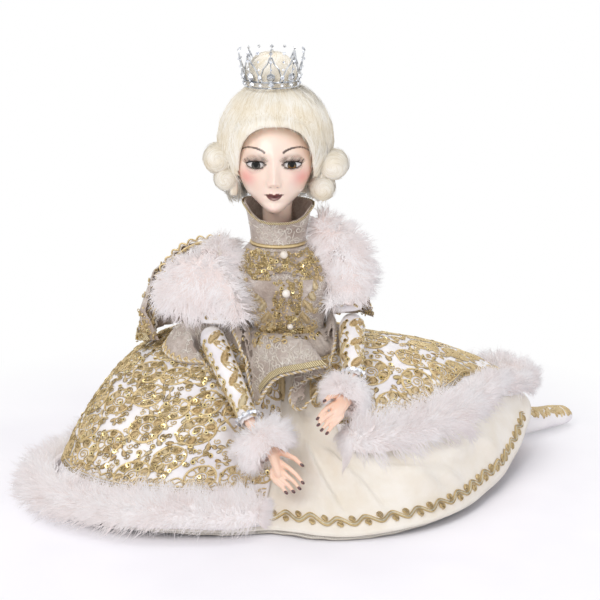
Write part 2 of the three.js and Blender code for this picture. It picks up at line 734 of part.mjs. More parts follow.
// Skirts. Each row: bearing round the waist, reach and height of the hip line, reach of the hem,
// and how high the hem rides over the ankle.
const GOWN_ROWS = [
  [0, 129, 95, 184, 4], [12, 140, 96, 207, 18], [22, 144, 95, 226, 32], [31, 140, 94, 222, 38],
  [40, 126, 93, 208, 28], [52, 108, 94, 186, 0], [74, 94, 98, 160, 0],
  [98, 90, 102, 146, 0], [126, 100, 106, 150, 0], [154, 122, 104, 156, 0], [178, 138, 94, 167, 0],
  [196, 132, 88, 195, 0], [213, 112, 82, 188, 0], [230, 86, 74, 164, 0], [247, 62, 62, 140, 0],
  [264, 50, 52, 124, 0], [281, 56, 54, 138, 0], [297, 78, 60, 148, 0], [313, 98, 64, 156, 0],
  [330, 112, 78, 164, 0], [346, 120, 90, 170, 0],
];
const FOLDS = { count: 9, depth: 2.6, from: 0.3, calm: 0.7 };
const SKIRT_COLUMNS = 36;
const SKIRT_ROWS = 6;

const gownCurve = [1, 2, 3, 4].map((column) => {
  const count = GOWN_ROWS.length;
  return (bearing) => {
    const b = ((bearing % 360) + 360) % 360;
    let i = count - 1;
    while (i > 0 && GOWN_ROWS[i][0] > b) i -= 1;
    const row = (k) => GOWN_ROWS[(k + count) % count];
    const from = row(i)[0];
    const span = (row(i + 1)[0] - from + 360) % 360;
    const t = (b - from) / span;
    const [p, q, r, s] = [row(i - 1), row(i), row(i + 1), row(i + 2)].map((k) => k[column]);
    return q + 0.5 * t * (r - p + t * (2 * p - 5 * q + 4 * r - s + t * (3 * (q - r) + s - p)));
  };
});

// How high the skirts may reach under an arm that rests over them.
const REST = { clearance: 5, slope: 1.1 };
const ARM_RESTS = Object.entries(ARMS).map(([side, arm]) => {
  const path = [arm.shoulder, arm.elbow, arm.wrist, arm.palm].map(vec);
  return (x, y) => {
    let low = Infinity;
    for (let i = 1; i < 3; i += 1) {
      const way = path[i + 1].clone().sub(path[i]);
      const along = ((x - path[i].x) * way.x + (y - path[i].y) * way.y) / (way.x ** 2 + way.y ** 2);
      const near = path[i].clone().addScaledVector(way, THREE.MathUtils.clamp(along, 0, 1));
      const off = Math.hypot(x - near.x, y - near.y);
      const wide = (i === 1 ? SLEEVE.elbow : CUFF_SIZES[side] - 4) + REST.clearance;
      const under = near.z - Math.sqrt(Math.max(0, wide ** 2 - off ** 2));
      low = Math.min(low, under + Math.max(0, off - wide) * REST.slope);
    }
    return low;
  };
});

function gownProfile(bearing) {
  const [hip, hipHeight, hem, rise] = gownCurve.map((curve) => curve(bearing));
  const foot = HEM_REST + Math.max(rise, 0);
  return new THREE.QuadraticBezierCurve(
    new THREE.Vector2(WAIST.radius, WAIST.z),
    new THREE.Vector2(2 * hip - (WAIST.radius + hem) / 2, 2 * hipHeight - (WAIST.z + foot) / 2),
    new THREE.Vector2(hem, foot),
  );
}

// A point of the skirts at a bearing, a share of the way from waist to hem, and a depth inwards.
function gownPoint(bearing, share, depth) {
  const profile = gownProfile(bearing);
  const p = profile.getPoint(share);
  const along = profile.getTangent(share);
  const full = ease(share, FOLDS.from, 0.8) * (1 - FOLDS.calm * ease(share, 0.75, 1));
  const out = FOLDS.depth * full * Math.cos(turn(bearing) * FOLDS.count + 1) - depth;
  const r = p.x - along.y * out;
  const a = turn(bearing);
  const x = WAIST.x + Math.cos(a) * r;
  const y = WAIST.y + Math.sin(a) * r;
  const underArms = Math.min(...ARM_RESTS.map((rest) => rest(x, y))) - depth;
  return new THREE.Vector3(x, y, Math.max(Math.min(p.y + along.x * out, underArms), FLOOR_GAP));
}

const DEPTH_OVER = 0;
const DEPTH_UNDER = CLOTH + LAYER_GAP;
const DEPTH_PETTICOAT = DEPTH_UNDER + CLOTH + LAYER_GAP;
const SKIRT_TOP = 0.05;
const OVER_SPAN = 360 - (BEARINGS.frontLeft - BEARINGS.frontRight);

// The overskirt opens at the front and is looped up over the doll's left knee.
function hemShare(bearing) {
  const b = ((bearing % 360) + 360) % 360;
  const lifted = ease(b, 280, 300) * 0.42 - ease(b, 300, 360) * 0.12;
  const rest = 0.3 * (1 - ease(b, 0, 30)) * (b < 180 ? 1 : 0);
  return 0.985 - lifted - rest;
}

function makePetticoat() {
  const foot = (b) => (gownCurve[3](b) > 2 ? null : 0);
  const skin = (depth) => (u, v) => {
    const b = u * 360;
    const p = gownPoint(b, mix(SKIRT_TOP, 0.995, v), depth);
    if (v === 1 && foot(b) !== null) p.z = foot(b);
    return p;
  };
  const inner = DEPTH_PETTICOAT + PETTICOAT_WALL;
  return cloth(SKIRT_COLUMNS, SKIRT_ROWS, skin(DEPTH_PETTICOAT), skin(inner), true);
}

function makeUnderskirt() {
  const skin = (depth) => (u, v) => gownPoint(u * 360, mix(SKIRT_TOP, 0.995, v), depth);
  return cloth(SKIRT_COLUMNS, SKIRT_ROWS, skin(DEPTH_UNDER), skin(DEPTH_UNDER + CLOTH), true);
}

function makeOverskirt() {
  const skin = (depth) => (u, v) => {
    const b = BEARINGS.frontLeft + u * OVER_SPAN;
    return gownPoint(b, mix(SKIRT_TOP, hemShare(b), v), depth);
  };
  const columns = Math.round((OVER_SPAN / 360) * SKIRT_COLUMNS);
  return cloth(columns, SKIRT_ROWS, skin(DEPTH_OVER), skin(CLOTH));
}

// A half-round roll of fur laid along the edge of the overskirt, its flat side on the cloth.
function makeHemFur() {
  const rings = [];
  const arch = 5;
  const steps = Math.round((OVER_SPAN / 360) * SKIRT_COLUMNS);
  for (let i = 0; i <= steps; i += 1) {
    const b = BEARINGS.frontLeft + (i / steps) * OVER_SPAN;
    const ends = i % steps === 0 ? 0.6 : 1;
    const overAnkle = bell(((b + 180) % 360) - 180 - BEARINGS.ankle, 28);
    const swell = ends * (1 + 0.07 * Math.sin(i * 2.1)) * (1 - 0.35 * overAnkle);
    const reach = gownProfile(b).getLength();
    const shares = [];
    for (let k = 0; k <= arch; k += 1) {
      const w = -Math.cos((k / arch) * Math.PI);
      const share = hemShare(b) - 0.02 + (w * FUR_HEM.halfWidth * swell) / reach;
      shares.push([share, Math.sqrt(Math.max(0, 1 - w * w)) * FUR_HEM.height * swell]);
    }
    const ring = [];
    for (const [share, lift] of shares) ring.push(furPoint(b, share, -FUR_HEM.lift - lift - 1));
    for (const [share] of shares.slice(1, arch).reverse()) ring.push(furPoint(b, share, -FUR_HEM.lift));
    rings.push(ring);
  }
  return loft(rings);
}

// Past the hem the fur keeps lying on the floor, straight out from the edge.
function furPoint(bearing, share, depth) {
  const last = Math.min(share, 1);
  const p = gownPoint(bearing, last, depth);
  const extra = (share - last) * gownProfile(bearing).getLength();
  const a = turn(bearing);
  const droop = gownCurve[3](bearing) > 2 ? 0 : 0.5;
  p.x += Math.cos(a) * extra;
  p.y += Math.sin(a) * extra;
  p.z = Math.max(p.z - extra * droop, FLOOR_GAP + Math.max(0, -depth - FUR_HEM.lift) * 0.8);
  return p;
}

// The gimp keeps to whole columns of the underskirt, so both bend at the same bearings.
function makeGimp() {
  const column = 360 / SKIRT_COLUMNS;
  const first = Math.ceil((BEARINGS.frontRight + 2) / column) * column;
  const count = Math.floor((374 - first) / column);
  const skin = (out) => (u, v) => {
    const b = first + u * count * column;
    const reach = gownProfile(b).getLength();
    const share = 1 - (GIMP.inset - v * GIMP.width + GIMP.width / 2) / reach;
    return gownPoint(b, share, DEPTH_UNDER - out);
  };
  return cloth(count, 1, skin(GIMP.lift + GIMP.thickness), skin(GIMP.lift));
}

// Peplum: the hem runs from the right hip over a long flap and a deep flute to the left hip.
const PEPLUM_HEM = [
  [-32, 8, 132], [-34, -14, 131], [-25, -38, 117], [-14, -58, 80], [-7, -61, 93], [3, -63, 105],
  [25, -64, 111], [41, -57, 112], [40, -49, 105], [23, -47, 98], [11, -50, 88], [17, -58, 76],
  [34, -57, 90], [46, -38, 118], [48, -12, 132], [46, 10, 133],
];
const PEPLUM_TOP = 128;

function peplumPoint(u, v, out) {
  const hem = new THREE.CatmullRomCurve3(PEPLUM_HEM.map(vec), false, "centripetal");
  const b = turn(mix(-125, 125, u));
  const top = overBodice(b, PEPLUM_TOP, SEAT_GAP);
  const p = top.clone().lerp(hem.getPoint(u), v);
  p.z += Math.sin(Math.PI * v) * 9;
  const side = new THREE.Vector3(Math.sin(b), -Math.cos(b), 0.55).normalize();
  return p.addScaledVector(side, out);
}

function makePeplum() {
  return cloth(32, 4, (u, v) => peplumPoint(u, v, CLOTH), (u, v) => peplumPoint(u, v, 0));
}

function makePeplumBraid() {
  const away = CLOTH + 3 * SEAT_GAP;
  const skin = (out) => (u, v) => peplumPoint(mix(8 / 32, 17 / 32, u), mix(0.91, 0.99, v), out);
  return cloth(9, 1, skin(away + TRIM_THICKNESS), skin(away));
}

// Wing sleeves hang behind the arms: an open bell from the shoulder, given by its axis and radii.
const WINGS = {
  right: {
    axis: [[-32, 8, 194], [-60, 16, 188], [-77, 15, 152], [-80, 12, 121]],
    radii: [14, 24, 30, 30],
    from: 10,
    to: [175, 250],
    tilt: 0.2,
  },
  left: {
    axis: [[35, 9.8, 190], [52, 16, 177], [57, 16, 152], [60, 15, 131]],
    radii: [10, 13, 16, 18],
    from: 0,
    to: [170, 190],
    tilt: 0,
  },
};
const WING_FLATNESS = 0.72;

function wingPoint(wing, u, v, out) {
  const centre = new THREE.CatmullRomCurve3(wing.axis.map(vec)).getPoint(v);
  const size = new THREE.CatmullRomCurve3(wing.radii.map((r) => new THREE.Vector3(r, 0, 0))).getPoint(v).x;
  const b = turn(mix(wing.from, mix(wing.to[0], wing.to[1], v * v), u));
  const r = size * (1 + 0.07 * Math.cos(7 * b) * v) + out;
  const x = Math.cos(b) * r;
  const y = Math.sin(b) * r * WING_FLATNESS;
  return new THREE.Vector3(centre.x + x, centre.y + y, centre.z + wing.tilt * x * v);
}

const WING_COLUMNS = 14;

function makeWing(wing) {
  return cloth(WING_COLUMNS, 4, (u, v) => wingPoint(wing, u, v, CLOTH), (u, v) => wingPoint(wing, u, v, 0));
}

function makeWingBraid(wing) {
  const edge = 1 / WING_COLUMNS;
  const skin = (out) => (u, v) => wingPoint(wing, mix(edge, 1 - edge, u), mix(0.92, 0.99, v), out);
  const away = CLOTH + 1.1;
  return cloth(WING_COLUMNS - 2, 1, skin(away + TRIM_THICKNESS), skin(away));
}

// Arms
const between = (a, b, t) => [0, 1, 2].map((k) => mix(a[k], b[k], t));
const distance = (a, b) => vec(a).distanceTo(vec(b));

function makeUpperArm(arm) {
  const reach = distance(arm.shoulder, arm.elbow);
  const foot = reach - SLEEVE.elbow - SLEEVE.joint;
  const ball = arm.ballRadius;
  return revolvedAlong([
    [0, -ball], [ball * 0.7, -ball * 0.7], [ball, 0], [ball * 0.7, ball * 0.72], [ARM_RADIUS, ball + 3],
    [ARM_RADIUS, foot - 1], [ARM_RADIUS - 1, foot], [0, foot],
  ], arm.shoulder, arm.elbow, 12);
}

function upperSleeveTop(arm) {
  return arm.ballRadius + 1.4;
}

function makeUpperSleeve(arm) {
  const foot = distance(arm.shoulder, arm.elbow) - SLEEVE.elbow - SLEEVE.joint;
  const top = upperSleeveTop(arm) + 2;
  const inner = ARM_RADIUS + SEAT_GAP;
  const outer = inner + SLEEVE.wall;
  return revolvedAlong([
    [inner, top], [outer - 0.8, top], [outer, top + 4], [outer + 0.6, (top + foot) / 2], [outer, foot - 2],
    [outer - 1, foot], [inner, foot], [inner, top],
  ], arm.shoulder, arm.elbow, 14);
}

const SLEEVE_END = 0.97;
const CORE_END = 0.28;

function sleeveRadius(t) {
  return mix(SLEEVE.elbow, SLEEVE.wrist, ease(t, 0.2, 1));
}

function makeLowerSleeve(arm) {
  const reach = distance(arm.elbow, arm.wrist);
  const r = SLEEVE.elbow;
  const end = SLEEVE_END * reach;
  const inside = sleeveRadius(CORE_END) - SLEEVE.wall;
  return revolvedAlong([
    [0, -r], [r * 0.7, -r * 0.7], [r, 0], [sleeveRadius(0.4), 0.4 * reach], [sleeveRadius(0.7), 0.7 * reach],
    [sleeveRadius(SLEEVE_END), end], [sleeveRadius(SLEEVE_END) - 1.2, end], [inside, CORE_END * reach],
    [0, CORE_END * reach],
  ], arm.elbow, arm.wrist, 14);
}

const FINGERS = {
  right: {
    knuckles: [[9, -101.5, 47.5], [6, -103.5, 43.5], [2.5, -104.5, 40.5], [-1, -105, 38.5]],
    tips: [[22.5, -112, 37.5], [20, -113.5, 33.5], [15.5, -114, 31], [10, -113.5, 30]],
    thumb: [[6.5, -93, 54.5], [14, -99, 54], [22, -104, 48.5]],
  },
  left: {
    knuckles: [[44, -85, 90.5], [46.5, -87, 86.5], [49, -88, 83.5], [51.5, -88.5, 81.5]],
    tips: [[33, -94, 82], [33.5, -97, 78], [36, -98.5, 74.5], [40, -99, 72]],
    thumb: [[50, -80, 97], [43.5, -85, 97.5], [38, -90, 94.5]],
  },
};
const FINGER_RADII = [2.3, 2, 1.5];
const BONE_RADII = [5.6, 5, 4.4, 4.6];

function makeForearm(arm, hand) {
  const reach = distance(arm.elbow, arm.wrist);
  const root = CORE_END + SEAT_GAP / reach;
  const bone = limb([
    [...between(arm.elbow, arm.wrist, root), BONE_RADII[0]],
    [...between(arm.elbow, arm.wrist, 0.65), BONE_RADII[1]],
    [...between(arm.elbow, arm.wrist, 0.98), BONE_RADII[2]],
    [...between(arm.wrist, arm.palm, 0.55), BONE_RADII[3]],
  ], { sides: 10, steps: 6, dome: 0 });
  const palm = limb([
    [...between(arm.wrist, arm.palm, 0.4), 4.6], [...arm.palm, 7],
    [...between(hand.knuckles[1], hand.knuckles[2], 0.5), 5.4],
  ], { sides: 8, steps: 4, flat: 0.62, dome: 1 });
  const parts = [bone, palm];
  hand.knuckles.forEach((knuckle, i) => {
    const middle = between(knuckle, hand.tips[i], 0.5);
    middle[2] += 1.6;
    parts.push(limb([
      [...between(arm.palm, knuckle, 0.6), FINGER_RADII[0]], [...knuckle, FINGER_RADII[0]],
      [...middle, FINGER_RADII[1]], [...hand.tips[i], FINGER_RADII[2]],
    ], { sides: 5, steps: 4, dome: 1 }));
  });
  parts.push(limb([
    [...between(arm.wrist, arm.palm, 0.6), 2.8], [...hand.thumb[0], 2.7], [...hand.thumb[1], 2.3],
    [...hand.thumb[2], 1.6],
  ], { sides: 5, steps: 4, dome: 1 }));
  return join(parts);
}

const BRACELET = { at: 0.92, bead: 1.5, link: 0.8, beads: 13 };

function makeBracelet(arm) {
  const centre = vec(between(arm.elbow, arm.wrist, BRACELET.at));
  const along = vec(arm.wrist).sub(vec(arm.elbow)).normalize();
  const across = new THREE.Vector3(1, 0, 0).addScaledVector(along, -along.x).normalize();
  const up = new THREE.Vector3().crossVectors(along, across);
  const hoop = sleeveRadius(BRACELET.at) + BRACELET.bead + 2 * SEAT_GAP;
  const rings = [];
  const count = BRACELET.beads * 2;
  for (let i = 0; i < count; i += 1) {
    const a = (i / count) * Math.PI * 2;
    const out = across.clone().multiplyScalar(Math.cos(a)).addScaledVector(up, Math.sin(a));
    const size = i % 2 ? BRACELET.link : BRACELET.bead;
    rings.push(hoopRing(centre.clone().addScaledVector(out, hoop), out, along, size, size * 1.5, 4));
  }
  return loft(rings, true);
}

// A fur cuff is a thick bell round the back of the hand, its bore clear of the porcelain.
function makeCuff(arm, hand, size) {
  const bell = CUFF_PROFILE.map(([r, t]) => [r * size, t * size]);
  const cuff = revolvedAlong([...bell, bell[0]], between(arm.wrist, arm.palm, CUFF_START), arm.palm, 16);
  return cut(cuff, [hand], CUFF_GAP, 0.12);
}

// Fur trims. Right: sections along X, [x, y, z, half depth, half height]. Left: sections upwards.
const FUR_RIGHT = [
  [-98, -14, 159, 5, 7], [-90, -14, 162, 14, 18], [-75, -17, 166, 20, 28], [-60, -19, 168, 21, 30],
  [-44, -20, 168, 20, 30], [-29, -33, 156, 13, 20], [-20, -37, 149, 5, 8],
];
const FUR_LEFT = [
  [146, 59, -17, 6, 5], [153, 59, -16, 14, 13], [168, 61, -12, 17, 16], [184, 59, -8, 18.5, 18],
  [198, 52, -6, 22, 17], [210, 44, -6, 19, 14], [219, 39, -5, 12, 9], [224, 37, -5, 5, 4],
];

function makeFurRight() {
  const sides = 12;
  const across = new THREE.Vector3(0, 1, 0);
  const up = new THREE.Vector3(0, 0, 1);
  return loft(FUR_RIGHT.map(([x, y, z, halfDepth, halfHeight]) => (
    hoopRing(new THREE.Vector3(x, y, z), across, up, halfDepth, halfHeight, sides)
  )));
}

function makeFurLeft() {
  return levelsThrough(FUR_LEFT, 12);
}

const CUFF_PROFILE = [
  [0.2, 0], [0.7, -0.06], [0.96, 0.22], [1, 0.6], [0.84, 1.02], [0.62, 1.2], [0.5, 1], [0.3, 0.6],
];
const CUFF_START = 0.16;
const CUFF_GAP = 0.45;

// Legs
const LEGS = {
  right: { hip: [4, -14, 33], knee: [80, -60, 32], ankle: [136, 10, 19], toe: [156, 34, 12] },
  left: { hip: [30, 2, 40], knee: KNEE, ankle: [212, 96, 18], toe: [252, 127, 12] },
};
const KNEE_RADIUS = 11.5;
const THIGH_RADII = [19, 16.5, 13];
const KNEE_SOCKET = 2.5;

function makeThigh(leg) {
  const reach = distance(leg.hip, leg.knee);
  return revolvedAlong([
    [0, -10], [THIGH_RADII[0] * 0.7, -8], [THIGH_RADII[0], 4], [THIGH_RADII[1], reach * 0.5],
    [THIGH_RADII[2], reach - KNEE_RADIUS - 3], [THIGH_RADII[2] * 0.86, reach - KNEE_RADIUS + KNEE_SOCKET],
    [0, reach - KNEE_RADIUS + KNEE_SOCKET],
  ], leg.hip, leg.knee, 12);
}

function makeShin(leg) {
  return limb([
    [...leg.knee, KNEE_RADIUS], [...between(leg.knee, leg.ankle, 0.35), 10],
    [...between(leg.knee, leg.ankle, 0.8), 6.4], [...leg.ankle, 6.6],
  ], { sides: 10, steps: 6, dome: 2 });
}

// A court shoe: rounded toe, low vamp, closed heel. Rows: share of length, half width, half height, lift.
const SHOE_ROWS = [
  [0, 5, 13, 3], [0.08, 8.5, 14, 0.6], [0.28, 9.5, 12, 0.6], [0.5, 9.4, 10.5, 0], [0.72, 11, 9.5, 0],
  [0.9, 9.5, 8, 0], [1, 4.5, 5, 0.6],
];

function makeShoe(leg) {
  const way = vec(leg.toe).sub(vec(leg.ankle)).setZ(0);
  const length = way.length() + 26;
  way.normalize();
  const side = new THREE.Vector3(-way.y, way.x, 0);
  const start = vec(leg.ankle).setZ(0).addScaledVector(way, -14);
  return loft(SHOE_ROWS.map(([t, halfWidth, rise, lift]) => {
    const centre = start.clone().addScaledVector(way, t * length);
    centre.z = 2 * FLOOR_GAP + lift + rise;
    return hoopRing(centre, side, new THREE.Vector3(0, 0, 1), halfWidth, rise, 12);
  }));
}

// Assembly: each piece gives way to the ones it sits on or passes.
const LEFTWARD = [-1, 0, 0];
const UPWARD = [0, 0, 1];
const spread = (from, to, steps) => Array.from({ length: steps + 1 }, (_, i) => mix(from, to, i / steps));
const neckPivot = [NECK.x, NECK.y, 0];

const headBlank = makeHeadBlank();
const eyes = {
  right: ballAt(eyeCentre(-1), EYE.radius, 12, 8),
  left: ballAt(eyeCentre(1), EYE.radius, 12, 8),
};
const head = cut(cut(headBlank, [makeEyelidCut(-1), makeEyelidCut(1)], 0), [eyes.right, eyes.left]);
const lashes = {
  right: cut(makeLash(-1), [head, eyes.right]),
  left: cut(makeLash(1), [head, eyes.left]),
};
const wigCap = makeCap();
const wigBun = cut(makeBun(), [wigCap]);
const crown = makeCrown();
const backHair = cut(makeBackHair(), [wigCap, headBlank], CURL_GAP, 0.12);
const curls = {};
for (const [name, size] of Object.entries(CURLS)) {
  const earlier = Object.values(curls);
  curls[name] = cut(makeCurl(size), [wigCap, headBlank, backHair, ...earlier], CURL_GAP, 0.06);
}

const clothBody = makeClothBody();
const shoulderPlate = makeShoulderPlate();
const neckBolt = makeNeckBolt();
const bodice = makeBodice();
const bodiceSolid = levelsThrough(BODICE_LEVELS, 16);
const collar = makeCollar();
const yoke = makeYoke();
const frontPoint = makeFrontPoint();
const pearls = [0, 1, 2].map((i) => cut(makePearl(i), [yoke, frontPoint]));

const legPieces = {};
for (const [side, leg] of Object.entries(LEGS)) {
  const shin = makeShin(leg);
  const swings = spread(-KNEE_RANGE, KNEE_RANGE, 2).map((a) => turned(shin, leg.knee, UPWARD, a));
  const thigh = cut(makeThigh(leg), [clothBody, ...(side === "left" ? swings : [shin])]);
  legPieces[side] = { thigh, shin, shoe: cut(makeShoe(leg), [shin]) };
}
legPieces.right.thigh = cut(legPieces.right.thigh, [legPieces.left.thigh], SWING_GAP);

const peplum = makePeplum();
const armPieces = {};
for (const [side, arm] of Object.entries(ARMS)) {
  const pieces = {
    upperArm: makeUpperArm(arm),
    upperSleeve: makeUpperSleeve(arm),
    lowerSleeve: makeLowerSleeve(arm),
    forearm: makeForearm(arm, FINGERS[side]),
    bracelet: makeBracelet(arm),
  };
  pieces.cuff = makeCuff(arm, pieces.forearm, CUFF_SIZES[side]);
  armPieces[side] = pieces;
}
const wings = {};
const wingBraids = {};
for (const [side, wing] of Object.entries(WINGS)) {
  wings[side] = cut(makeWing(wing), [bodiceSolid, bodice]);
  wingBraids[side] = makeWingBraid(wing);
}
const hairSweep = spread(-HEAD_RANGE, HEAD_RANGE, 4)
  .flatMap((a) => [backHair, curls.left_lower].map((g) => turned(g, neckPivot, UPWARD, a)));
const stillByFur = [bodiceSolid, collar, wings.left, ...hairSweep];
const passedByFur = spread(0, SHOULDER_RANGE, 3)
  .flatMap((a) => stillByFur.map((g) => turned(g, ARMS.left.shoulder, LEFTWARD, -a)));
const furBlanks = { right: makeFurRight(), left: cut(makeFurLeft(), passedByFur, SWING_GAP, 0.6) };
for (const [side, pieces] of Object.entries(armPieces)) {
  pieces.fur = cut(furBlanks[side], [pieces.upperArm, pieces.upperSleeve], 0.6, 0.1);
}
const furSweep = spread(0, SHOULDER_RANGE, 6)
  .map((a) => turned(armPieces.left.fur, ARMS.left.shoulder, LEFTWARD, a));
wings.left = cut(wings.left, furSweep, SEAT_GAP);

// Looks and scene graph
function look(color, roughness, metalness = 0) {
  return new THREE.MeshStandardMaterial({ color, roughness, metalness });
}

const looks = {
  porcelain: look(0xf3d6c6, 0.3),
  glass: look(0x5a4a3c, 0.05),
  lash: look(0x1c1412, 0.8),
  hair: look(0xf2ead6, 0.75),
  silver: look(0xdfe3ea, 0.15, 0.9),
  steel: look(0x9a9ca0, 0.4, 0.9),
  felt: look(0xe6e0d4, 0.95),
  calico: look(0xe8dccb, 0.9),
  brocade: look(0xa08d80, 0.6),
  goldLace: look(0xb99250, 0.45, 0.4),
  braid: look(0xc7ad62, 0.4, 0.5),
  pearl: look(0xf0e8d8, 0.25),
  satin: look(0xf2eeee, 0.4),
  cream: look(0xf7eedd, 0.6),
  net: look(0xf3f0ea, 0.85),
  fur: look(0xf6eeec, 0.95),
  stones: look(0xcfd4dc, 0.1, 0.4),
  shoe: look(0xeee8e2, 0.5),
};

const doll = new THREE.Group();

function pivotGroup(parent, pivot) {
  const group = new THREE.Group();
  const origin = parent.userData.origin ?? new THREE.Vector3();
  group.userData.origin = vec(pivot);
  group.position.copy(vec(pivot)).sub(origin);
  parent.add(group);
  return group;
}

function place(group, name, geometry, material) {
  const origin = group.userData.origin ?? new THREE.Vector3();
  const local = facingOut(geometry);
  local.translate(-origin.x, -origin.y, -origin.z);
  const mesh = new THREE.Mesh(local, material);
  mesh.name = name;
  group.add(mesh);
}

place(doll, "cloth_body", clothBody, looks.calico);
place(doll, "shoulder_plate", shoulderPlate, looks.porcelain);
place(doll, "neck_bolt", neckBolt, looks.steel);
place(doll, "neck_spring", makeNeckSpring(), looks.steel);
place(doll, "neck_felt", makeNeckFelt(), looks.felt);
place(doll, "bodice", bodice, looks.brocade);
place(doll, "collar", collar, looks.brocade);
place(doll, "collar_braid", makeCollarBraid(), looks.braid);
place(doll, "yoke_lace", yoke, looks.goldLace);
place(doll, "front_lace", frontPoint, looks.goldLace);
pearls.forEach((pearl, i) => place(doll, `pearl_${i + 1}`, pearl, looks.pearl));
place(doll, "peplum", peplum, looks.brocade);
place(doll, "peplum_braid", makePeplumBraid(), looks.braid);
place(doll, "overskirt", makeOverskirt(), looks.satin);
place(doll, "hem_fur", makeHemFur(), looks.fur);
place(doll, "underskirt", makeUnderskirt(), looks.cream);
place(doll, "hem_braid", makeGimp(), looks.braid);
place(doll, "petticoat", makePetticoat(), looks.net);
for (const side of ["right", "left"]) {
  place(doll, `wing_sleeve_${side}`, wings[side], looks.brocade);
  place(doll, `wing_braid_${side}`, wingBraids[side], looks.braid);
  place(doll, `thigh_${side}`, legPieces[side].thigh, looks.calico);
}
place(doll, "shin_right", legPieces.right.shin, looks.porcelain);
place(doll, "shoe_right", legPieces.right.shoe, looks.shoe);

const headGroup = pivotGroup(doll, [NECK.x, NECK.y, NECK_FOOT]);
place(headGroup, "head", head, looks.porcelain);
place(headGroup, "wig_cap", wigCap, looks.hair);
place(headGroup, "wig_bun", wigBun, looks.hair);
place(headGroup, "wig_back", backHair, looks.hair);
place(headGroup, "crown", crown, looks.silver);
for (const side of ["right", "left"]) {
  place(headGroup, `eye_${side}`, eyes[side], looks.glass);
  place(headGroup, `lash_${side}`, lashes[side], looks.lash);
}
for (const [name, curl] of Object.entries(curls)) place(headGroup, `curl_${name}`, curl, looks.hair);

for (const side of ["right", "left"]) {
  const pieces = armPieces[side];
  const upper = pivotGroup(doll, ARMS[side].shoulder);
  place(upper, `upper_arm_${side}`, pieces.upperArm, looks.calico);
  place(upper, `upper_sleeve_${side}`, pieces.upperSleeve, looks.satin);
  place(upper, `shoulder_fur_${side}`, pieces.fur, looks.fur);
  const lower = pivotGroup(upper, ARMS[side].elbow);
  place(lower, `forearm_${side}`, pieces.forearm, looks.porcelain);
  place(lower, `lower_sleeve_${side}`, pieces.lowerSleeve, looks.satin);
  place(lower, `bracelet_${side}`, pieces.bracelet, looks.stones);
  place(lower, `cuff_fur_${side}`, pieces.cuff, looks.fur);
}

const freeShin = pivotGroup(doll, KNEE);
place(freeShin, "shin_left", legPieces.left.shin, looks.porcelain);
place(freeShin, "shoe_left", legPieces.left.shoe, looks.shoe);

export default doll;
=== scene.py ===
import json
import math

import bpy
import numpy as np
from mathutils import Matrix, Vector
from mathutils.bvhtree import BVHTree
from mathutils.kdtree import KDTree


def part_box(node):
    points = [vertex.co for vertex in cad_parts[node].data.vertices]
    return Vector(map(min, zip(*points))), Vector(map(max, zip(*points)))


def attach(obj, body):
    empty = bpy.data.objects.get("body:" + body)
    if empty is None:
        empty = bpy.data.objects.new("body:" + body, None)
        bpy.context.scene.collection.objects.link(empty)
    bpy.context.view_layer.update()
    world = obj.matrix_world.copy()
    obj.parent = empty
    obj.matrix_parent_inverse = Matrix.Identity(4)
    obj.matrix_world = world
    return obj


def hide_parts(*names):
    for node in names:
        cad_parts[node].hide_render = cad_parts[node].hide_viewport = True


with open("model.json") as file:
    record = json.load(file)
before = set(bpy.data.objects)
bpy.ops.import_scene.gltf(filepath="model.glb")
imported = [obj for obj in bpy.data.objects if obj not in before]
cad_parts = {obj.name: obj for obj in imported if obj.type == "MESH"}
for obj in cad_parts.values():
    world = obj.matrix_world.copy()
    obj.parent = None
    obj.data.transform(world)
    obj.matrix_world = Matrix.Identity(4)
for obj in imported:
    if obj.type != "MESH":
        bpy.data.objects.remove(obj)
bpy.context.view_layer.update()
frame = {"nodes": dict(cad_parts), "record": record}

MM = 0.001
SIDES = (("right", -1), ("left", 1))
bpy.ops.object.select_all(action="DESELECT")

# Camera: in front of the doll, above its crown, looking down a little.
CAMERA_PLACE = (0.020, -1.300, 0.500)
CAMERA_DIP = 15.07
CAMERA_SPREAD = 20.17
bpy.ops.object.camera_add(location=CAMERA_PLACE, rotation=(math.radians(90 - CAMERA_DIP), 0, 0))
camera = bpy.context.object
camera.data.angle = math.radians(CAMERA_SPREAD)
camera.data.clip_end = 20
bpy.context.scene.camera = camera
bpy.context.scene.view_settings.view_transform = "Standard"


# Small helpers
def ease(x, start, stop):
    t = np.clip((x - start) / (stop - start), 0, 1)
    return t * t * (3 - 2 * t)


def bell(x, width):
    return np.exp(-((x / width) ** 2))


def mix(a, b, t):
    return a + (b - a) * t


def unit(v):
    return v / np.maximum(np.linalg.norm(v, axis=-1, keepdims=True), 1e-12)


def stack(*parts):
    return np.stack(np.broadcast_arrays(*parts), axis=-1).astype(float)


def between(p, q, r, s, t):
    """A smooth step from q to r, drawn by their neighbours p and s."""
    return q + 0.5 * t * (r - p + t * (2 * p - 5 * q + 4 * r - s + t * (3 * (q - r) + s - p)))


def spline(rows, t):
    """A smooth line through the rows, read at t from 0 to 1."""
    rows = np.asarray(rows, float)
    rows = np.vstack([2 * rows[0] - rows[1], rows, 2 * rows[-1] - rows[-2]])
    f = np.clip(np.asarray(t, float), 0, 1) * (len(rows) - 3)
    i = np.minimum(f.astype(int), len(rows) - 4)
    f = (f - i)[..., None]
    return between(*(rows[i + k] for k in range(4)), f)


def wander(x, y, seed=0.0):
    """Smooth waves without a period, from -1 to 1, for folds and tufts."""
    return (
        np.sin(1.7 * x + 2.3 * y + seed)
        + np.sin(2.9 * x - 1.3 * y + 1.7 * seed + 1)
        + np.sin(-1.1 * x + 3.7 * y + 2.9 * seed + 2)
    ) / 3


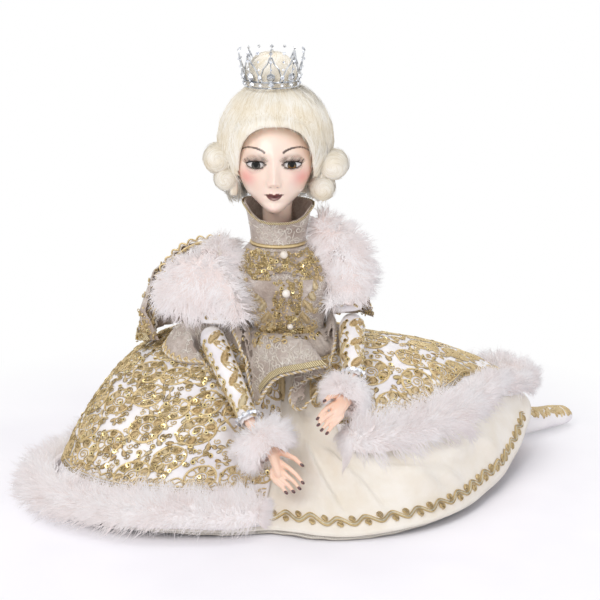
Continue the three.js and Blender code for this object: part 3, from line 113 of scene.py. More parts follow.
# Meshes
def way_along(line):
    """How far each point of a line lies from its start."""
    return np.concatenate([[0], np.cumsum(np.linalg.norm(np.diff(line, axis=0), axis=1))])


def each(tone, times):
    """Repeats the shade of each copy for its points; a single shade stays as it is."""
    return np.repeat(tone, times) if np.ndim(tone) else tone


def grid(rows, columns):
    return (a.ravel() for a in np.meshgrid(np.arange(rows), np.arange(columns), indexing="ij"))


def quads_of(at, i, j):
    """Faces of a grid, from the function that numbers its points."""
    return stack(at(i, j), at(i, j + 1), at(i + 1, j + 1), at(i + 1, j)).astype(int)


class Heap:
    """Points and faces gathered from many parts, made into one mesh. Lengths are in millimetres."""

    def __init__(self):
        self.points, self.faces, self.slots, self.count = [], [], [], 0
        self.uv, self.tone = [], []

    def add(self, points, faces, slot=0, uv=None, tone=0.5):
        """Adds points and groups of faces over them; slot and uv may be lists, one to a group."""
        points = np.asarray(points, float).reshape(-1, 3)
        self.points.append(points)
        self.tone.append(np.broadcast_to(np.asarray(tone, float), (len(points),)))
        for k, group in enumerate(faces):
            if len(group):
                self.faces.append(group + self.count)
                self.slots.append(np.full(len(group), slot[k] if isinstance(slot, list) else slot))
                self.uv.append(np.zeros((group.size, 2)) if uv is None else uv[k].reshape(-1, 2))
        self.count += len(points)

    def mesh(self, name, finishes, smooth=True, normals=None, swell_from=None):
        """One mesh; swell_from turns the normals of strands away from the middle of their form."""
        points = np.concatenate(self.points) * MM
        mesh = bpy.data.meshes.new(name)
        corners = np.concatenate([f.ravel() for f in self.faces])
        sizes = np.concatenate([np.full(len(f), f.shape[1]) for f in self.faces])
        mesh.vertices.add(len(points))
        mesh.vertices.foreach_set("co", points.ravel())
        mesh.loops.add(len(corners))
        mesh.loops.foreach_set("vertex_index", corners.astype(np.int32))
        mesh.polygons.add(len(sizes))
        starts = np.concatenate([[0], np.cumsum(sizes)[:-1]]).astype(np.int32)
        mesh.polygons.foreach_set("loop_start", starts)
        mesh.polygons.foreach_set("loop_total", sizes.astype(np.int32))
        mesh.polygons.foreach_set("material_index", np.concatenate(self.slots).astype(np.int32))
        mesh.polygons.foreach_set("use_smooth", np.full(len(sizes), smooth))
        layer = mesh.uv_layers.new(name="cloth")
        layer.data.foreach_set("uv", np.concatenate(self.uv).astype(np.float32).ravel())
        tone = mesh.attributes.new("tone", "FLOAT", "POINT")
        tone.data.foreach_set("value", np.concatenate(self.tone).astype(np.float32))
        mesh.update(calc_edges=True)
        if swell_from is not None:
            own = np.empty(len(points) * 3)
            mesh.vertices.foreach_get("normal", own)
            away = points - np.asarray(swell_from, float) * MM
            normals = unit(unit(away) + 0.4 * own.reshape(-1, 3) + [0, -0.15, 0.3])
        if normals is not None:
            mesh.normals_split_custom_set_from_vertices(normals)
        for finish in finishes:
            mesh.materials.append(finish)
        piece = bpy.data.objects.new(name, mesh)
        bpy.context.scene.collection.objects.link(piece)
        return piece


def settle(piece, body, nodes=()):
    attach(piece, body)
    if nodes:
        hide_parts(*nodes)
    return piece


def finished(heap, name, looks, body, slot, nodes=(), **how):
    """The heap's mesh with its looks, named in the order of its slots, riding on a body."""
    return settle(heap.mesh(name, [LOOKS[look] for look in looks.split()], **how), body, nodes)


def cloth(heap, outer, inner, nu, nv, size, hoop=False):
    """A cloth between an outer and an inner skin over u and v; size is its width and length."""
    columns = nu if hoop else nu + 1
    u, v = np.meshgrid(np.arange(columns) / nu, np.arange(nv + 1) / nv, indexing="ij")
    points = np.concatenate([outer(u, v).reshape(-1, 3), inner(u, v).reshape(-1, 3)])
    i, j = grid(nu, nv)
    at = lambda layer, a, b: layer * columns * (nv + 1) + (a % columns) * (nv + 1) + b
    top = stack(at(0, i, j), at(0, i + 1, j), at(0, i + 1, j + 1), at(0, i, j + 1)).astype(int)
    low = stack(at(1, i, j), at(1, i, j + 1), at(1, i + 1, j + 1), at(1, i + 1, j)).astype(int)
    scale = np.array([size[0] / nu, size[1] / nv]) * MM
    spot = lambda a, b: np.stack([a, b], -1) * scale
    uv_top = np.stack([spot(i, j), spot(i + 1, j), spot(i + 1, j + 1), spot(i, j + 1)], 1)
    uv_low = np.stack([spot(i, j), spot(i, j + 1), spot(i + 1, j + 1), spot(i + 1, j)], 1)
    k = np.arange(nu)
    edges = [
        stack(at(0, k, 0), at(1, k, 0), at(1, k + 1, 0), at(0, k + 1, 0)),
        stack(at(0, k, nv), at(0, k + 1, nv), at(1, k + 1, nv), at(1, k, nv)),
    ]
    if not hoop:
        k = np.arange(nv)
        edges.append(stack(at(0, 0, k), at(0, 0, k + 1), at(1, 0, k + 1), at(1, 0, k)))
        edges.append(stack(at(0, nu, k), at(1, nu, k), at(1, nu, k + 1), at(0, nu, k + 1)))
    edges = np.concatenate(edges).astype(int)
    if inside_out(points, np.concatenate([top, low, edges])):
        top, low, edges = top[:, ::-1], low[:, ::-1], edges[:, ::-1]
        uv_top, uv_low = uv_top[:, ::-1], uv_low[:, ::-1]
    heap.add(points, [top, low, edges], uv=[uv_top, uv_low, np.zeros((edges.size, 2))])


def inside_out(points, quads):
    a, b, c, d = (points[quads[:, k]] for k in range(4))
    volume = np.einsum("ij,ij->i", a, np.cross(b, c)) + np.einsum("ij,ij->i", a, np.cross(c, d))
    return volume.sum() < 0


def sewn(name, skin, wall, columns, rows, size, look, slot, nodes=(), hoop=False):
    """A piece of cloth on the body, laid inwards from its skin."""
    heap = Heap()
    cloth(heap, lambda u, v: skin(u, v, 0), lambda u, v: skin(u, v, -wall), columns, rows, size, hoop)
    return finished(heap, name, look, "body", slot, nodes)


def cords(heap, line, up, width, height, slot=0, tone=0.5):
    """Half-round cords laid on a surface: line and up are (cords, points, 3) arrays."""
    line, up = np.asarray(line, float), np.asarray(up, float)
    count, steps = line.shape[:2]
    side = unit(np.cross(np.gradient(line, axis=1), up)) * (width / 2)
    ring = np.stack([line - side, line + up * height, line + side], 2)
    base = (np.arange(count) * steps * 3)[:, None, None]
    at = lambda a, b: base + a * 3 + (b % 3)
    quads = quads_of(at, np.arange(steps - 1)[None, :, None], np.arange(3)[None, None, :])
    first = base[:, 0, 0]
    last = first + (steps - 1) * 3
    ends = [stack(first, first + 2, first + 1).astype(int), stack(last, last + 1, last + 2).astype(int)]
    heap.add(ring, [quads.reshape(-1, 4)] + ends, slot, tone=each(tone, steps * 3))


def round_cords(heap, line, radius, sides=5, slot=0, tone=0.5):
    """Round cords through free space, pointed or blunt by their radius at each point."""
    line = np.asarray(line, float)
    count, steps = line.shape[:2]
    along = unit(np.gradient(line, axis=1))
    helper = np.eye(3)[np.abs(along[:, 0]).argmin(1)]
    side = np.empty_like(along)
    side[:, 0] = unit(np.cross(along[:, 0], helper))
    for k in range(1, steps):
        last, way = side[:, k - 1], along[:, k]
        side[:, k] = unit(last - way * np.einsum("ij,ij->i", last, way)[:, None])
    over = np.cross(along, side)
    a = np.arange(sides) * 2 * np.pi / sides
    radius = np.broadcast_to(np.asarray(radius, float), (count, steps))[..., None, None]
    ring = line[:, :, None] + radius * (
        np.cos(a)[:, None] * side[:, :, None] + np.sin(a)[:, None] * over[:, :, None]
    )
    base = (np.arange(count) * steps * sides)[:, None, None]
    at = lambda p, q: base + p * sides + (q % sides)
    quads = quads_of(at, np.arange(steps - 1)[None, :, None], np.arange(sides)[None, None, :])
    first = base[:, 0] + np.arange(sides)[None, :]
    heap.add(ring, [quads.reshape(-1, 4), first[:, ::-1], first + (steps - 1) * sides], slot,
             tone=each(tone, steps * sides))


def surface_frame(surface, u, v, out):
    """The points of a surface, its outward direction, and its millimetres per unit of u and v."""
    step = 2e-3
    here = surface(u, v, out)
    du = (surface(u + step, v, out) - surface(u - step, v, out)) / (2 * step)
    dv = (surface(u, v + step, out) - surface(u, v - step, out)) / (2 * step)
    normal = unit(np.cross(du, dv))
    away = surface(u, v, out + 1.0) - here
    facing = np.sign(np.einsum("...i,...i->...", normal, away) + 1e-9)[..., None]
    return here, normal * facing, du, dv


def turned(shapes, turn, scale):
    """Drawn strokes, (strokes, points, 2), turned and scaled about each of many centres."""
    c, s = np.cos(turn) * scale, np.sin(turn) * scale
    x = c[:, None, None] * shapes[None, ..., 0] - s[:, None, None] * shapes[None, ..., 1]
    y = s[:, None, None] * shapes[None, ..., 0] + c[:, None, None] * shapes[None, ..., 1]
    return x, y


def lay(surface, centres, strokes, out, turn=0.0, scale=1.0):
    """Strokes drawn in millimetres, (strokes, points, 2), laid on a surface about each centre."""
    centres = np.asarray(centres, float)
    _, _, du, dv = surface_frame(surface, centres[:, 0], centres[:, 1], out)
    wide, long = np.linalg.norm(du, axis=1), np.linalg.norm(dv, axis=1)
    x, y = turned(strokes, np.broadcast_to(turn, len(centres)), scale)
    u = centres[:, 0, None, None] + x / wide[:, None, None]
    v = centres[:, 1, None, None] + y / long[:, None, None]
    here, normal, _, _ = surface_frame(surface, u, np.clip(v, 0.004, 0.996), out)
    shape = (-1, strokes.shape[1], 3)
    return here.reshape(shape), normal.reshape(shape)


def copies(heap, model, places, ups, size=1.0, turn=None, tone=0.5):
    """Copies of one modelled piece (points, face groups by slot) stood on places along ups."""
    points, groups = model
    places, ups = np.asarray(places, float), unit(np.asarray(ups, float))
    helper = np.where(np.abs(ups[:, 2:3]) > 0.9, [1.0, 0, 0], [0, 0, 1.0])
    side = unit(np.cross(ups, helper))
    over = np.cross(ups, side)
    if turn is not None:
        c, s = np.cos(turn)[:, None], np.sin(turn)[:, None]
        side, over = side * c + over * s, over * c - side * s
    axes = np.stack([side, over, ups], 1)
    size = np.broadcast_to(np.asarray(size, float), (len(places),))
    moved = places[:, None] + np.einsum("pk,mkc->mpc", points, axes) * size[:, None, None]
    base = (np.arange(len(places)) * len(points))[:, None, None]
    heap.add(moved, [(base + faces).reshape(-1, faces.shape[1]) for _, faces in groups],
             [slot for slot, _ in groups], tone=each(np.broadcast_to(tone, len(places)), len(points)))


def taken(piece, slots=(0,)):
    """Takes a modelled piece's mesh as points in millimetres and face groups, and removes it."""
    mesh = piece.data
    points = np.array([v.co for v in mesh.vertices]) / MM
    groups = {}
    for face in mesh.polygons:
        groups.setdefault((face.material_index, len(face.vertices)), []).append(list(face.vertices))
    bpy.data.objects.remove(piece)
    return points, [(slots[key[0]], np.array(faces)) for key, faces in groups.items()]


def scatter(points, triangles, count, rng):
    """Places spread evenly over triangles, with the direction away from them."""
    a, b, c = (points[triangles[:, k]] for k in range(3))
    cross = np.cross(b - a, c - a)
    area = np.linalg.norm(cross, axis=1)
    pick = rng.choice(len(triangles), count, p=area / area.sum())
    r, s = rng.random((2, count, 1))
    root = np.sqrt(r)
    places = a[pick] * (1 - root) + b[pick] * root * (1 - s) + c[pick] * root * s
    return places, unit(cross[pick]), pick


def triangles_of(piece):
    mesh = piece.data
    mesh.calc_loop_triangles()
    points = np.empty(len(mesh.vertices) * 3)
    mesh.vertices.foreach_get("co", points)
    index = np.empty(len(mesh.loop_triangles) * 3, np.int32)
    mesh.loop_triangles.foreach_get("vertices", index)
    return points.reshape(-1, 3) / MM, index.reshape(-1, 3)


def joined(pieces):
    """The points in millimetres and the triangles of several pieces."""
    points, triangles, count = [], [], 0
    for piece in pieces:
        p, t = triangles_of(piece)
        points.append(p)
        triangles.append(t + count)
        count += len(p)
    return np.concatenate(points), np.concatenate(triangles)


def airy(piece):
    """Light passes through the fine strands of this piece to the ones below."""
    piece.visible_shadow = False
    piece.visible_diffuse = False
    return piece


def only(piece):
    bpy.ops.object.select_all(action="DESELECT")
    piece.select_set(True)
    bpy.context.view_layer.objects.active = piece


def apply(piece, kind, **settings):
    only(piece)
    modifier = piece.modifiers.new(kind.lower(), kind)
    for name, value in settings.items():
        setattr(modifier, name, value)
    bpy.ops.object.modifier_apply(modifier=modifier.name)


def soft(node, name, body, look, voxel, rounds, grow=0.0):
    """A CAD node's form, merged, remeshed and smoothed into one soft skin in its place."""
    mesh = frame["nodes"][node].data.copy()
    mesh.materials.clear()
    mesh.materials.append(LOOKS[look])
    piece = bpy.data.objects.new(name, mesh)
    bpy.context.scene.collection.objects.link(piece)
    only(piece)
    bpy.ops.object.mode_set(mode="EDIT")
    bpy.ops.mesh.select_all(action="SELECT")
    bpy.ops.mesh.remove_doubles(threshold=1e-6)
    bpy.ops.object.mode_set(mode="OBJECT")
    apply(piece, "REMESH", mode="VOXEL", voxel_size=voxel * MM)
    if rounds:
        apply(piece, "SMOOTH", factor=0.5, iterations=rounds)
    if grow:
        apply(piece, "DISPLACE", strength=grow * MM, mid_level=0.0)
    piece.data.polygons.foreach_set("use_smooth", [True] * len(piece.data.polygons))
    return settle(piece, body, [node])


# Finishes
def linear(code):
    values = [int(code[i:i + 2], 16) / 255 for i in (0, 2, 4)]
    return [c / 12.92 if c <= 0.04045 else ((c + 0.055) / 1.055) ** 2.4 for c in values] + [1.0]


def node(material, kind, inputs=(), **settings):
    tree = material.node_tree
    new = tree.nodes.new("ShaderNode" + kind)
    for name, value in settings.items():
        setattr(new, name, value)
    for name, value in dict(inputs).items():
        if isinstance(value, bpy.types.NodeSocket):
            tree.links.new(value, new.inputs[name])
        else:
            new.inputs[name].default_value = value
    return new


def shader_of(material):
    return material.node_tree.nodes["Principled BSDF"]


def drive(material, socket, value):
    material.node_tree.links.new(value, shader_of(material).inputs[socket])


def finish(name, colour, roughness, **values):
    material = bpy.data.materials.new(name)
    material.use_nodes = True
    shader = shader_of(material)
    shader.inputs["Base Color"].default_value = linear(colour)
    shader.inputs["Roughness"].default_value = roughness
    for socket, value in values.items():
        shader.inputs[socket.replace("_", " ")].default_value = value
    return material


def on_object(material):
    return node(material, "TexCoord").outputs["Object"]


def on_cloth(material):
    return node(material, "UVMap", uv_map="cloth").outputs["UV"]


def noise(material, where, size_mm, detail=3.0, roughness=0.5, distortion=0.0):
    """Noise whose patches are about size_mm across."""
    made = node(material, "TexNoise", {
        "Vector": where, "Scale": 0.6 / (size_mm * MM), "Detail": detail,
        "Roughness": roughness, "Distortion": distortion,
    })
    return made.outputs["Fac"]


def ramp(material, value, *stops):
    made = node(material, "ValToRGB", {"Fac": value})
    band = made.color_ramp
    while len(band.elements) < len(stops):
        band.elements.new(0.5)
    for element, (place, colour) in zip(band.elements, stops):
        element.position = place
        element.color = linear(colour) if isinstance(colour, str) else (colour, colour, colour, 1)
    return made.outputs["Color"]


def blended(material, share, a, b, way="MIX"):
    made = node(material, "Mix", data_type="RGBA", blend_type=way)
    for index, value in ((0, share), (6, a), (7, b)):
        if isinstance(value, bpy.types.NodeSocket):
            material.node_tree.links.new(value, made.inputs[index])
        elif index == 0:
            made.inputs[0].default_value = value
        else:
            made.inputs[index].default_value = linear(value) if isinstance(value, str) else value
    return made.outputs[2]


def relief(material, height, depth_mm, before=None):
    inputs = {"Height": height, "Distance": depth_mm * MM, "Strength": 1.0}
    if before is not None:
        inputs["Normal"] = before
    made = node(material, "Bump", inputs)
    drive(material, "Normal", made.outputs["Normal"])
    return made.outputs["Normal"]


def threads(material, where, pitch_mm, turn=0.0, axis="X", distortion=0.6):
    """Parallel threads at a pitch across one direction."""
    turned = node(material, "Mapping", {"Vector": where, "Rotation": (0, 0, turn)}).outputs["Vector"]
    made = node(material, "TexWave", {
        "Vector": turned, "Scale": 0.1 * math.pi / (pitch_mm * MM),
        "Distortion": distortion, "Detail": 1.0, "Detail Scale": 2.0,
    }, wave_type="BANDS", bands_direction=axis)
    return made.outputs["Fac"]


def weave(material, where, pitch_mm):
    warp = threads(material, where, pitch_mm)
    weft = threads(material, where, pitch_mm, axis="Y")
    return node(material, "Math", {0: warp, 1: weft}, operation="ADD").outputs["Value"]


def tone_of(material):
    """The shade that the mesh holds for each strand or stroke."""
    return node(material, "Attribute", attribute_name="tone").outputs["Fac"]


def mottled(name, dark, light, roughness, patch_mm, low=0.3, high=0.7, **values):
    """A finish whose colour wanders between two shades."""
    material = finish(name, light, roughness, **values)
    where = on_object(material)
    patches = noise(material, where, patch_mm)
    drive(material, "Base Color", ramp(material, patches, (low, dark), (high, light)))
    return material, where


def mohair(name):
    hair = finish(name, "f9f3e4", 0.65, Sheen_Weight=0.2, Sheen_Roughness=0.5, Specular_IOR_Level=0.2)
    where = on_object(hair)
    tone = tone_of(hair) if name == "hair" else noise(hair, where, 2.0, 4)
    strand = ramp(hair, tone, (0.0, "e3d8c0"), (0.35, "f3ecdb"), (1.0, "fcf8ef"))
    drift = ramp(hair, noise(hair, where, 10, 2), (0.35, "f3ead8"), (0.6, "ffffff"))
    drive(hair, "Base Color", blended(hair, 0.6, strand, drift, "MULTIPLY"))
    relief(hair, noise(hair, where, 0.9, 4), 0.15)
    return hair


# Plain finishes: two shades, roughness, patches in millimetres, then the grain's size in
# millimetres, its detail and depth, and what else the shader is given.
PLAIN = (
    ("felt", "8c8172", "b3a894", 0.95, 1.5, 0.4, 6, 0.2, {"Sheen_Weight": 0.4}),
    ("sequin", "b59a5c", "f6e6b4", 0.16, 4, 2, 3, 0.05, {"Metallic": 0.8}),
    ("sequin_eye", "2d2418", "5d4a2c", 0.3, 2, 1, 3, 0.05, {"Metallic": 0.6}),
    ("pearl", "eadfd0", "fbf6ec", 0.16, 4, 3, 3, 0.02,
     {"Coat_Weight": 0.6, "Coat_Roughness": 0.08, "Sheen_Weight": 0.2}),
    ("embroidery", "cfc3b4", "f4eee4", 0.48, 2, 0.5, 3, 0.15, {"Sheen_Weight": 0.3}),
    ("gimp_cord", "d9cfb4", "f6f0dc", 0.5, 1.2, 0.5, 3, 0.15, {"Sheen_Weight": 0.3}),
    ("silver_wire", "8f9298", "e9ebee", 0.16, 2.5, 1, 3, 0.04, {"Metallic": 1.0}),
    ("lash", "1f1512", "3a2a22", 0.6, 1, 0.5, 3, 0.02, {}),
    ("nail_lacquer", "3c1014", "5a1a20", 0.18, 3, 2, 3, 0.01, {"Coat_Weight": 1.0}),
)


def make_finishes():
    made = {}
    for name, dark, light, rough, patch, grain, detail, depth, values in PLAIN:
        plain, where = mottled(name, dark, light, rough, patch, **values)
        relief(plain, noise(plain, where, grain, detail), depth)
        made[name] = plain

    calico, where = mottled("calico", "ddd2bd", "eee6d6", 0.92, 9)
    relief(calico, weave(calico, where, 0.5), 0.08)
    made["calico"] = calico

    skin, where = mottled("porcelain", "f3c9ae", "fadcc8", 0.34, 14, low=0.35, high=0.75,
                          Coat_Weight=0.25, Coat_Roughness=0.22, Subsurface_Weight=0.08,
                          Subsurface_Scale=0.004)
    relief(skin, noise(skin, where, 1.2), 0.01)
    made["skin"] = skin
    made["face"] = face_finish()

    steel, where = mottled("steel", "8f9296", "b8babd", 0.35, 3, Metallic=1.0)
    relief(steel, threads(steel, where, 0.3), 0.01)
    made["steel"] = steel

    brocade = finish("brocade", "dccfc4", 0.4, Sheen_Weight=0.35, Sheen_Roughness=0.4)
    where = on_object(brocade)
    thread = threads(brocade, where, 0.55, 0.12)
    grain = noise(brocade, where, 0.9, 5, 0.7)
    patches = noise(brocade, where, 12, 2)
    woven = blended(brocade, thread, ramp(brocade, grain, (0.3, "998779"), (0.72, "dccfc4")), "dccfc4")
    damask = noise(brocade, where, 3.4, 1, 0.4, 1.6)
    woven = blended(brocade, ramp(brocade, damask, (0.5, 0.0), (0.54, 0.3)), woven, "f0e8e0")
    shade = ramp(brocade, patches, (0.3, "bdafa6"), (0.62, "ffffff"))
    drive(brocade, "Base Color", blended(brocade, 0.8, woven, shade, "MULTIPLY"))
    first = relief(brocade, weave(brocade, where, 0.55), 0.12)
    relief(brocade, patches, 0.5, first)
    made["brocade"] = brocade

    for name, where_from, rumple in (("satin", on_cloth, 0.8), ("sleeve_satin", on_object, 0.35),
                                     ("shoe_satin", on_object, 0.15)):
        satin = finish(name, "f7f2ef", 0.42, Sheen_Weight=0.15, Coat_Weight=0.08, Coat_Roughness=0.3)
        where = where_from(satin)
        cloudy = noise(satin, where, 16, 3)
        drive(satin, "Base Color", ramp(satin, cloudy, (0.3, "e6e1e4"), (0.65, "faf7f5")))
        first = relief(satin, noise(satin, where, 7, 3, 0.55, 0.4), rumple)
        relief(satin, threads(satin, where, 0.4, 0.78), 0.03, first)
        made[name] = satin

    cream = finish("cream_cloth", "f7efdd", 0.72, Sheen_Weight=0.2)
    where = on_cloth(cream)
    cloudy = noise(cream, where, 22, 4, 0.6)
    drive(cream, "Base Color", ramp(cream, cloudy, (0.25, "f2e8d6"), (0.6, "fbf5ea")))
    first = relief(cream, noise(cream, where, 9, 4, 0.55, 0.6), 1.0)
    relief(cream, weave(cream, where, 0.45), 0.05, first)
    made["cream_cloth"] = cream

    net = finish("stiff_net", "efe9dd", 0.85)
    where = on_cloth(net)
    drive(net, "Base Color", ramp(net, weave(net, where, 1.6), (0.2, "cfc7b8"), (0.8, "f5f0e6")))
    relief(net, weave(net, where, 1.6), 0.3)
    made["stiff_net"] = net

    for name, dark, light, rough in (
        ("gold_cord", "a5834b", "eed9a8", 0.4), ("old_gold", "7d6541", "c9b380", 0.45),
        ("braid", "8f7f58", "e8dcae", 0.42),
    ):
        gold = finish(name, light, rough, Metallic=0.35, Specular_IOR_Level=0.55)
        where = on_object(gold)
        if name == "braid":
            leaning = node(gold, "Mapping", {"Vector": where, "Rotation": (0, 0.8, 0)}).outputs["Vector"]
            plait = threads(gold, leaning, 1.2, 0.0)
            shades = (0.15, "a08c5e"), (0.5, "cbb78a"), (0.85, "e9dcb8")
            drive(gold, "Base Color", ramp(gold, plait, *shades))
            relief(gold, plait, 0.5)
        else:
            spun = blended(gold, noise(gold, where, 0.9, 4, 0.7), dark, light)
            drive(gold, "Base Color", blended(gold, tone_of(gold), spun, light))
            relief(gold, noise(gold, where, 0.45, 3), 0.25)
        made[name] = gold

    ochre = finish("lace_fill", "dbb069", 0.55, Metallic=0.2, Sheen_Weight=0.2)
    where = on_object(ochre)
    grain = noise(ochre, where, 1.1, 5, 0.75)
    leaf = ramp(ochre, grain, (0.3, "ac8c55"), (0.5, "d8b67c"), (0.7, "f3e2ba"))
    stitched = threads(ochre, where, 0.8, 0.6, distortion=4.0)
    leaf = blended(ochre, 0.55, leaf, ramp(ochre, stitched, (0.2, "d8c497"), (0.6, "ffffff")), "MULTIPLY")
    drive(ochre, "Base Color", blended(ochre, tone_of(ochre), leaf, "e9d7ae"))
    relief(ochre, stitched, 0.35)
    made["lace_fill"] = ochre

    # The fur is darker at the roots of its strands and on its beds than at its tips: painted shade down in
    # the pile, as its strands cast no shadows. The drift is tone that differs at random.
    for name, root, tip in (("fur", "f1e4df", "fefcfc"), ("fur_bed", "f0e3de", "f7f0ee")):
        fur = finish(name, tip, 0.75, Sheen_Weight=0.2, Sheen_Roughness=0.5, Specular_IOR_Level=0.2)
        where = on_object(fur)
        drift = ramp(fur, noise(fur, where, 14, 2), (0.35, "f6eeec"), (0.6, "ffffff"))
        strand = ramp(fur, tone_of(fur), (0.0, root), (0.5, "f8f2f1"), (1.0, tip))
        drive(fur, "Base Color", blended(fur, 0.7, strand, drift, "MULTIPLY"))
        made[name] = fur
    relief(fur, noise(fur, on_object(fur), 1.2, 5, 0.7), 0.8)

    for name in ("hair", "hair_bed"):
        made[name] = mohair(name)

    gem = finish("crystal", "f4f8ff", 0.03, Metallic=0.25, Coat_Weight=1.0, Coat_Roughness=0.02,
                 Specular_IOR_Level=0.9)
    where = on_object(gem)
    # Painted reflections: the facets are patched grey-blue and white.
    drive(gem, "Base Color", ramp(gem, noise(gem, where, 1.2, 2), (0.35, "9aa0b0"), (0.55, "f7fbff")))
    made["gem"] = gem

    for side, sign in SIDES:
        made["eye_" + side] = eye_finish("eye_glass_" + side, sign)
    return made


EYE = {"x": 13.7, "y": -28.0, "z": 265.6, "radius": 7.4}
FACE_X = 0.2


def eye_finish(name, sign):
    """A glass eye: dark pupil, iris and pale white, seen from the front, with painted light and shade in the
    iris.
    """
    eye = finish(name, "e9e6e2", 0.1, Coat_Weight=0.25, Coat_Roughness=0.03, Specular_IOR_Level=0.2)
    centre = ((FACE_X + sign * EYE["x"]) * MM, EYE["y"] * MM, (EYE["z"] - 0.2) * MM)
    shifted = node(eye, "VectorMath", {0: on_object(eye), 1: centre}, operation="SUBTRACT").outputs[0]
    parts = node(eye, "SeparateXYZ", {"Vector": shifted})
    flat = node(eye, "CombineXYZ", {"X": parts.outputs["X"], "Z": parts.outputs["Z"]}).outputs[0]
    reach = node(eye, "VectorMath", {0: flat}, operation="LENGTH").outputs["Value"]
    size = node(eye, "Math", {0: reach, 1: 1 / (3.9 * MM)}, operation="MULTIPLY").outputs[0]
    # Painted light and shade: the iris is lit at its bottom and darkens to near black towards its top, as in
    # the shade of the lid.
    height = node(eye, "Math", {0: parts.outputs["Z"], 1: 1 / (8 * MM)}, operation="MULTIPLY").outputs[0]
    high = node(eye, "Math", {0: height, 1: 0.5}, operation="ADD").outputs[0]
    # The two eyes are of one glass; their irises are tinted amber and grey as painted light that differs
    # between them.
    iris_tints_as_lit = ("c98a3a", "7d6a50") if sign > 0 else ("8f8a80", "5c5a56")
    tint = ramp(eye, high, (0.2, iris_tints_as_lit[0]), (0.46, iris_tints_as_lit[1]), (0.62, "151414"))
    spokes = noise(eye, flat, 0.8, 3)
    iris = blended(eye, 0.5, tint, ramp(eye, spokes, (0.35, "606060"), (0.65, "ffffff")), "MULTIPLY")
    rings = ramp(eye, size, (0.0, 0.0), (0.38, 0.0), (0.46, 0.9), (0.74, 1.0), (0.86, 0.1), (1.0, 0.08))
    ringed = blended(eye, 1.0, iris, rings, "MULTIPLY")
    outside = ramp(eye, size, (0.86, 0.0), (0.93, 1.0))
    drive(eye, "Base Color", blended(eye, outside, ringed, "f1eeeb"))
    return eye


def face_finish():
    """Ivory porcelain with the painted make-up, painted shade and painted highlights, held in colour
    attributes of the mesh.
    """
    face = finish("painted_porcelain", "fae0cd", 0.32, Coat_Weight=0.3, Coat_Roughness=0.18,
                  Subsurface_Weight=0.1, Subsurface_Scale=0.004)
    where = on_object(face)
    base = ramp(face, noise(face, where, 18, 2), (0.35, "fadecb"), (0.65, "fde8d9"))
    paint = node(face, "Attribute", attribute_name="paint")
    layers = node(face, "SeparateColor", {"Color": paint.outputs["Color"]})
    more = node(face, "Attribute", attribute_name="shade")
    shades = node(face, "SeparateColor", {"Color": more.outputs["Color"]})
    colour = blended(face, layers.outputs["Blue"], base, "f0857b")
    # Eye shadow and the lid crease, with painted shade beside the nose and under the lower lip.
    colour = blended(face, shades.outputs["Red"], colour, "a58676")
    colour = blended(face, layers.outputs["Red"], colour, "6b2823")
    # Painted highlights.
    colour = blended(face, shades.outputs["Blue"], colour, "fdeee4")
    # The lip line and nostrils, with painted shade beside the nose wings.
    colour = blended(face, shades.outputs["Green"], colour, "2c0f0d")
    colour = blended(face, layers.outputs["Green"], colour, "3f2620")
    drive(face, "Base Color", colour)
    relief(face, noise(face, where, 1.5), 0.006)
    return face


LOOKS = make_finishes()


# The gown, in millimetres: bearings are degrees round the waist, shares run from waist to hem.
WAIST = {"x": 11, "y": -1, "z": 123, "radius": 29}
GOWN_ROWS = np.array([
    [0, 129, 95, 184, 4], [12, 140, 96, 207, 18], [22, 144, 95, 226, 32], [31, 140, 94, 222, 38],
    [40, 126, 93, 208, 28], [52, 108, 94, 186, 0], [74, 94, 98, 160, 0], [98, 90, 102, 146, 0],
    [126, 100, 106, 150, 0], [154, 122, 104, 156, 0], [178, 138, 94, 167, 0], [196, 132, 88, 195, 0],
    [213, 112, 82, 188, 0], [230, 86, 74, 164, 0], [247, 62, 62, 140, 0], [264, 50, 52, 124, 0],
    [281, 56, 54, 138, 0], [297, 78, 60, 148, 0], [313, 98, 64, 156, 0], [330, 112, 78, 164, 0],
    [346, 120, 90, 170, 0],
], float)
CLOTH = 1.6
LAYER_GAP = 1.2
DEPTH_UNDER = CLOTH + LAYER_GAP
DEPTH_PETTICOAT = DEPTH_UNDER + CLOTH + LAYER_GAP
SKIRT_TOP = 0.05
FRONT_RIGHT, FRONT_LEFT = 260.0, 300.0
OVER_SPAN = 360 - (FRONT_LEFT - FRONT_RIGHT)
FUR_HALF_WIDTH, FUR_HEIGHT, FUR_LIFT = 17.0, 22.0, 3.0
FLOOR_GAP = 0.6
ARM_LINES = {
    "right": ([[-49, -27, 126], [-17, -82, 73], [0, -96, 53]], 22.0),
    "left": ([[61, -18, 134], [60, -68, 104], [53, -80, 93]], 17.0),
}


def gown_curve(bearing, column):
    b = np.mod(bearing, 360)
    starts = GOWN_ROWS[:, 0]
    count = len(starts)
    i = np.searchsorted(starts, b, side="right") - 1
    span = np.mod(starts[(i + 1) % count] - starts[i], 360)
    t = (b - starts[i]) / span
    return between(*(GOWN_ROWS[(i + k) % count, column] for k in (-1, 0, 1, 2)), t)


def under_arms(x, y):
    """How high the skirts may reach under the arms that rest over them."""
    low = np.full(np.shape(x), 999.0)
    for line, cuff in ARM_LINES.values():
        for k, wide in ((0, 15.2), (1, cuff + 1.0)):
            a, b = np.array(line[k], float), np.array(line[k + 1], float)
            way = b - a
            t = np.clip(((x - a[0]) * way[0] + (y - a[1]) * way[1]) / (way[0] ** 2 + way[1] ** 2), 0, 1)
            off = np.hypot(x - a[0] - t * way[0], y - a[1] - t * way[1])
            under = a[2] + t * way[2] - np.sqrt(np.maximum(0, wide ** 2 - off ** 2))
            low = np.minimum(low, under + np.maximum(0, off - wide) * 1.1)
    return low


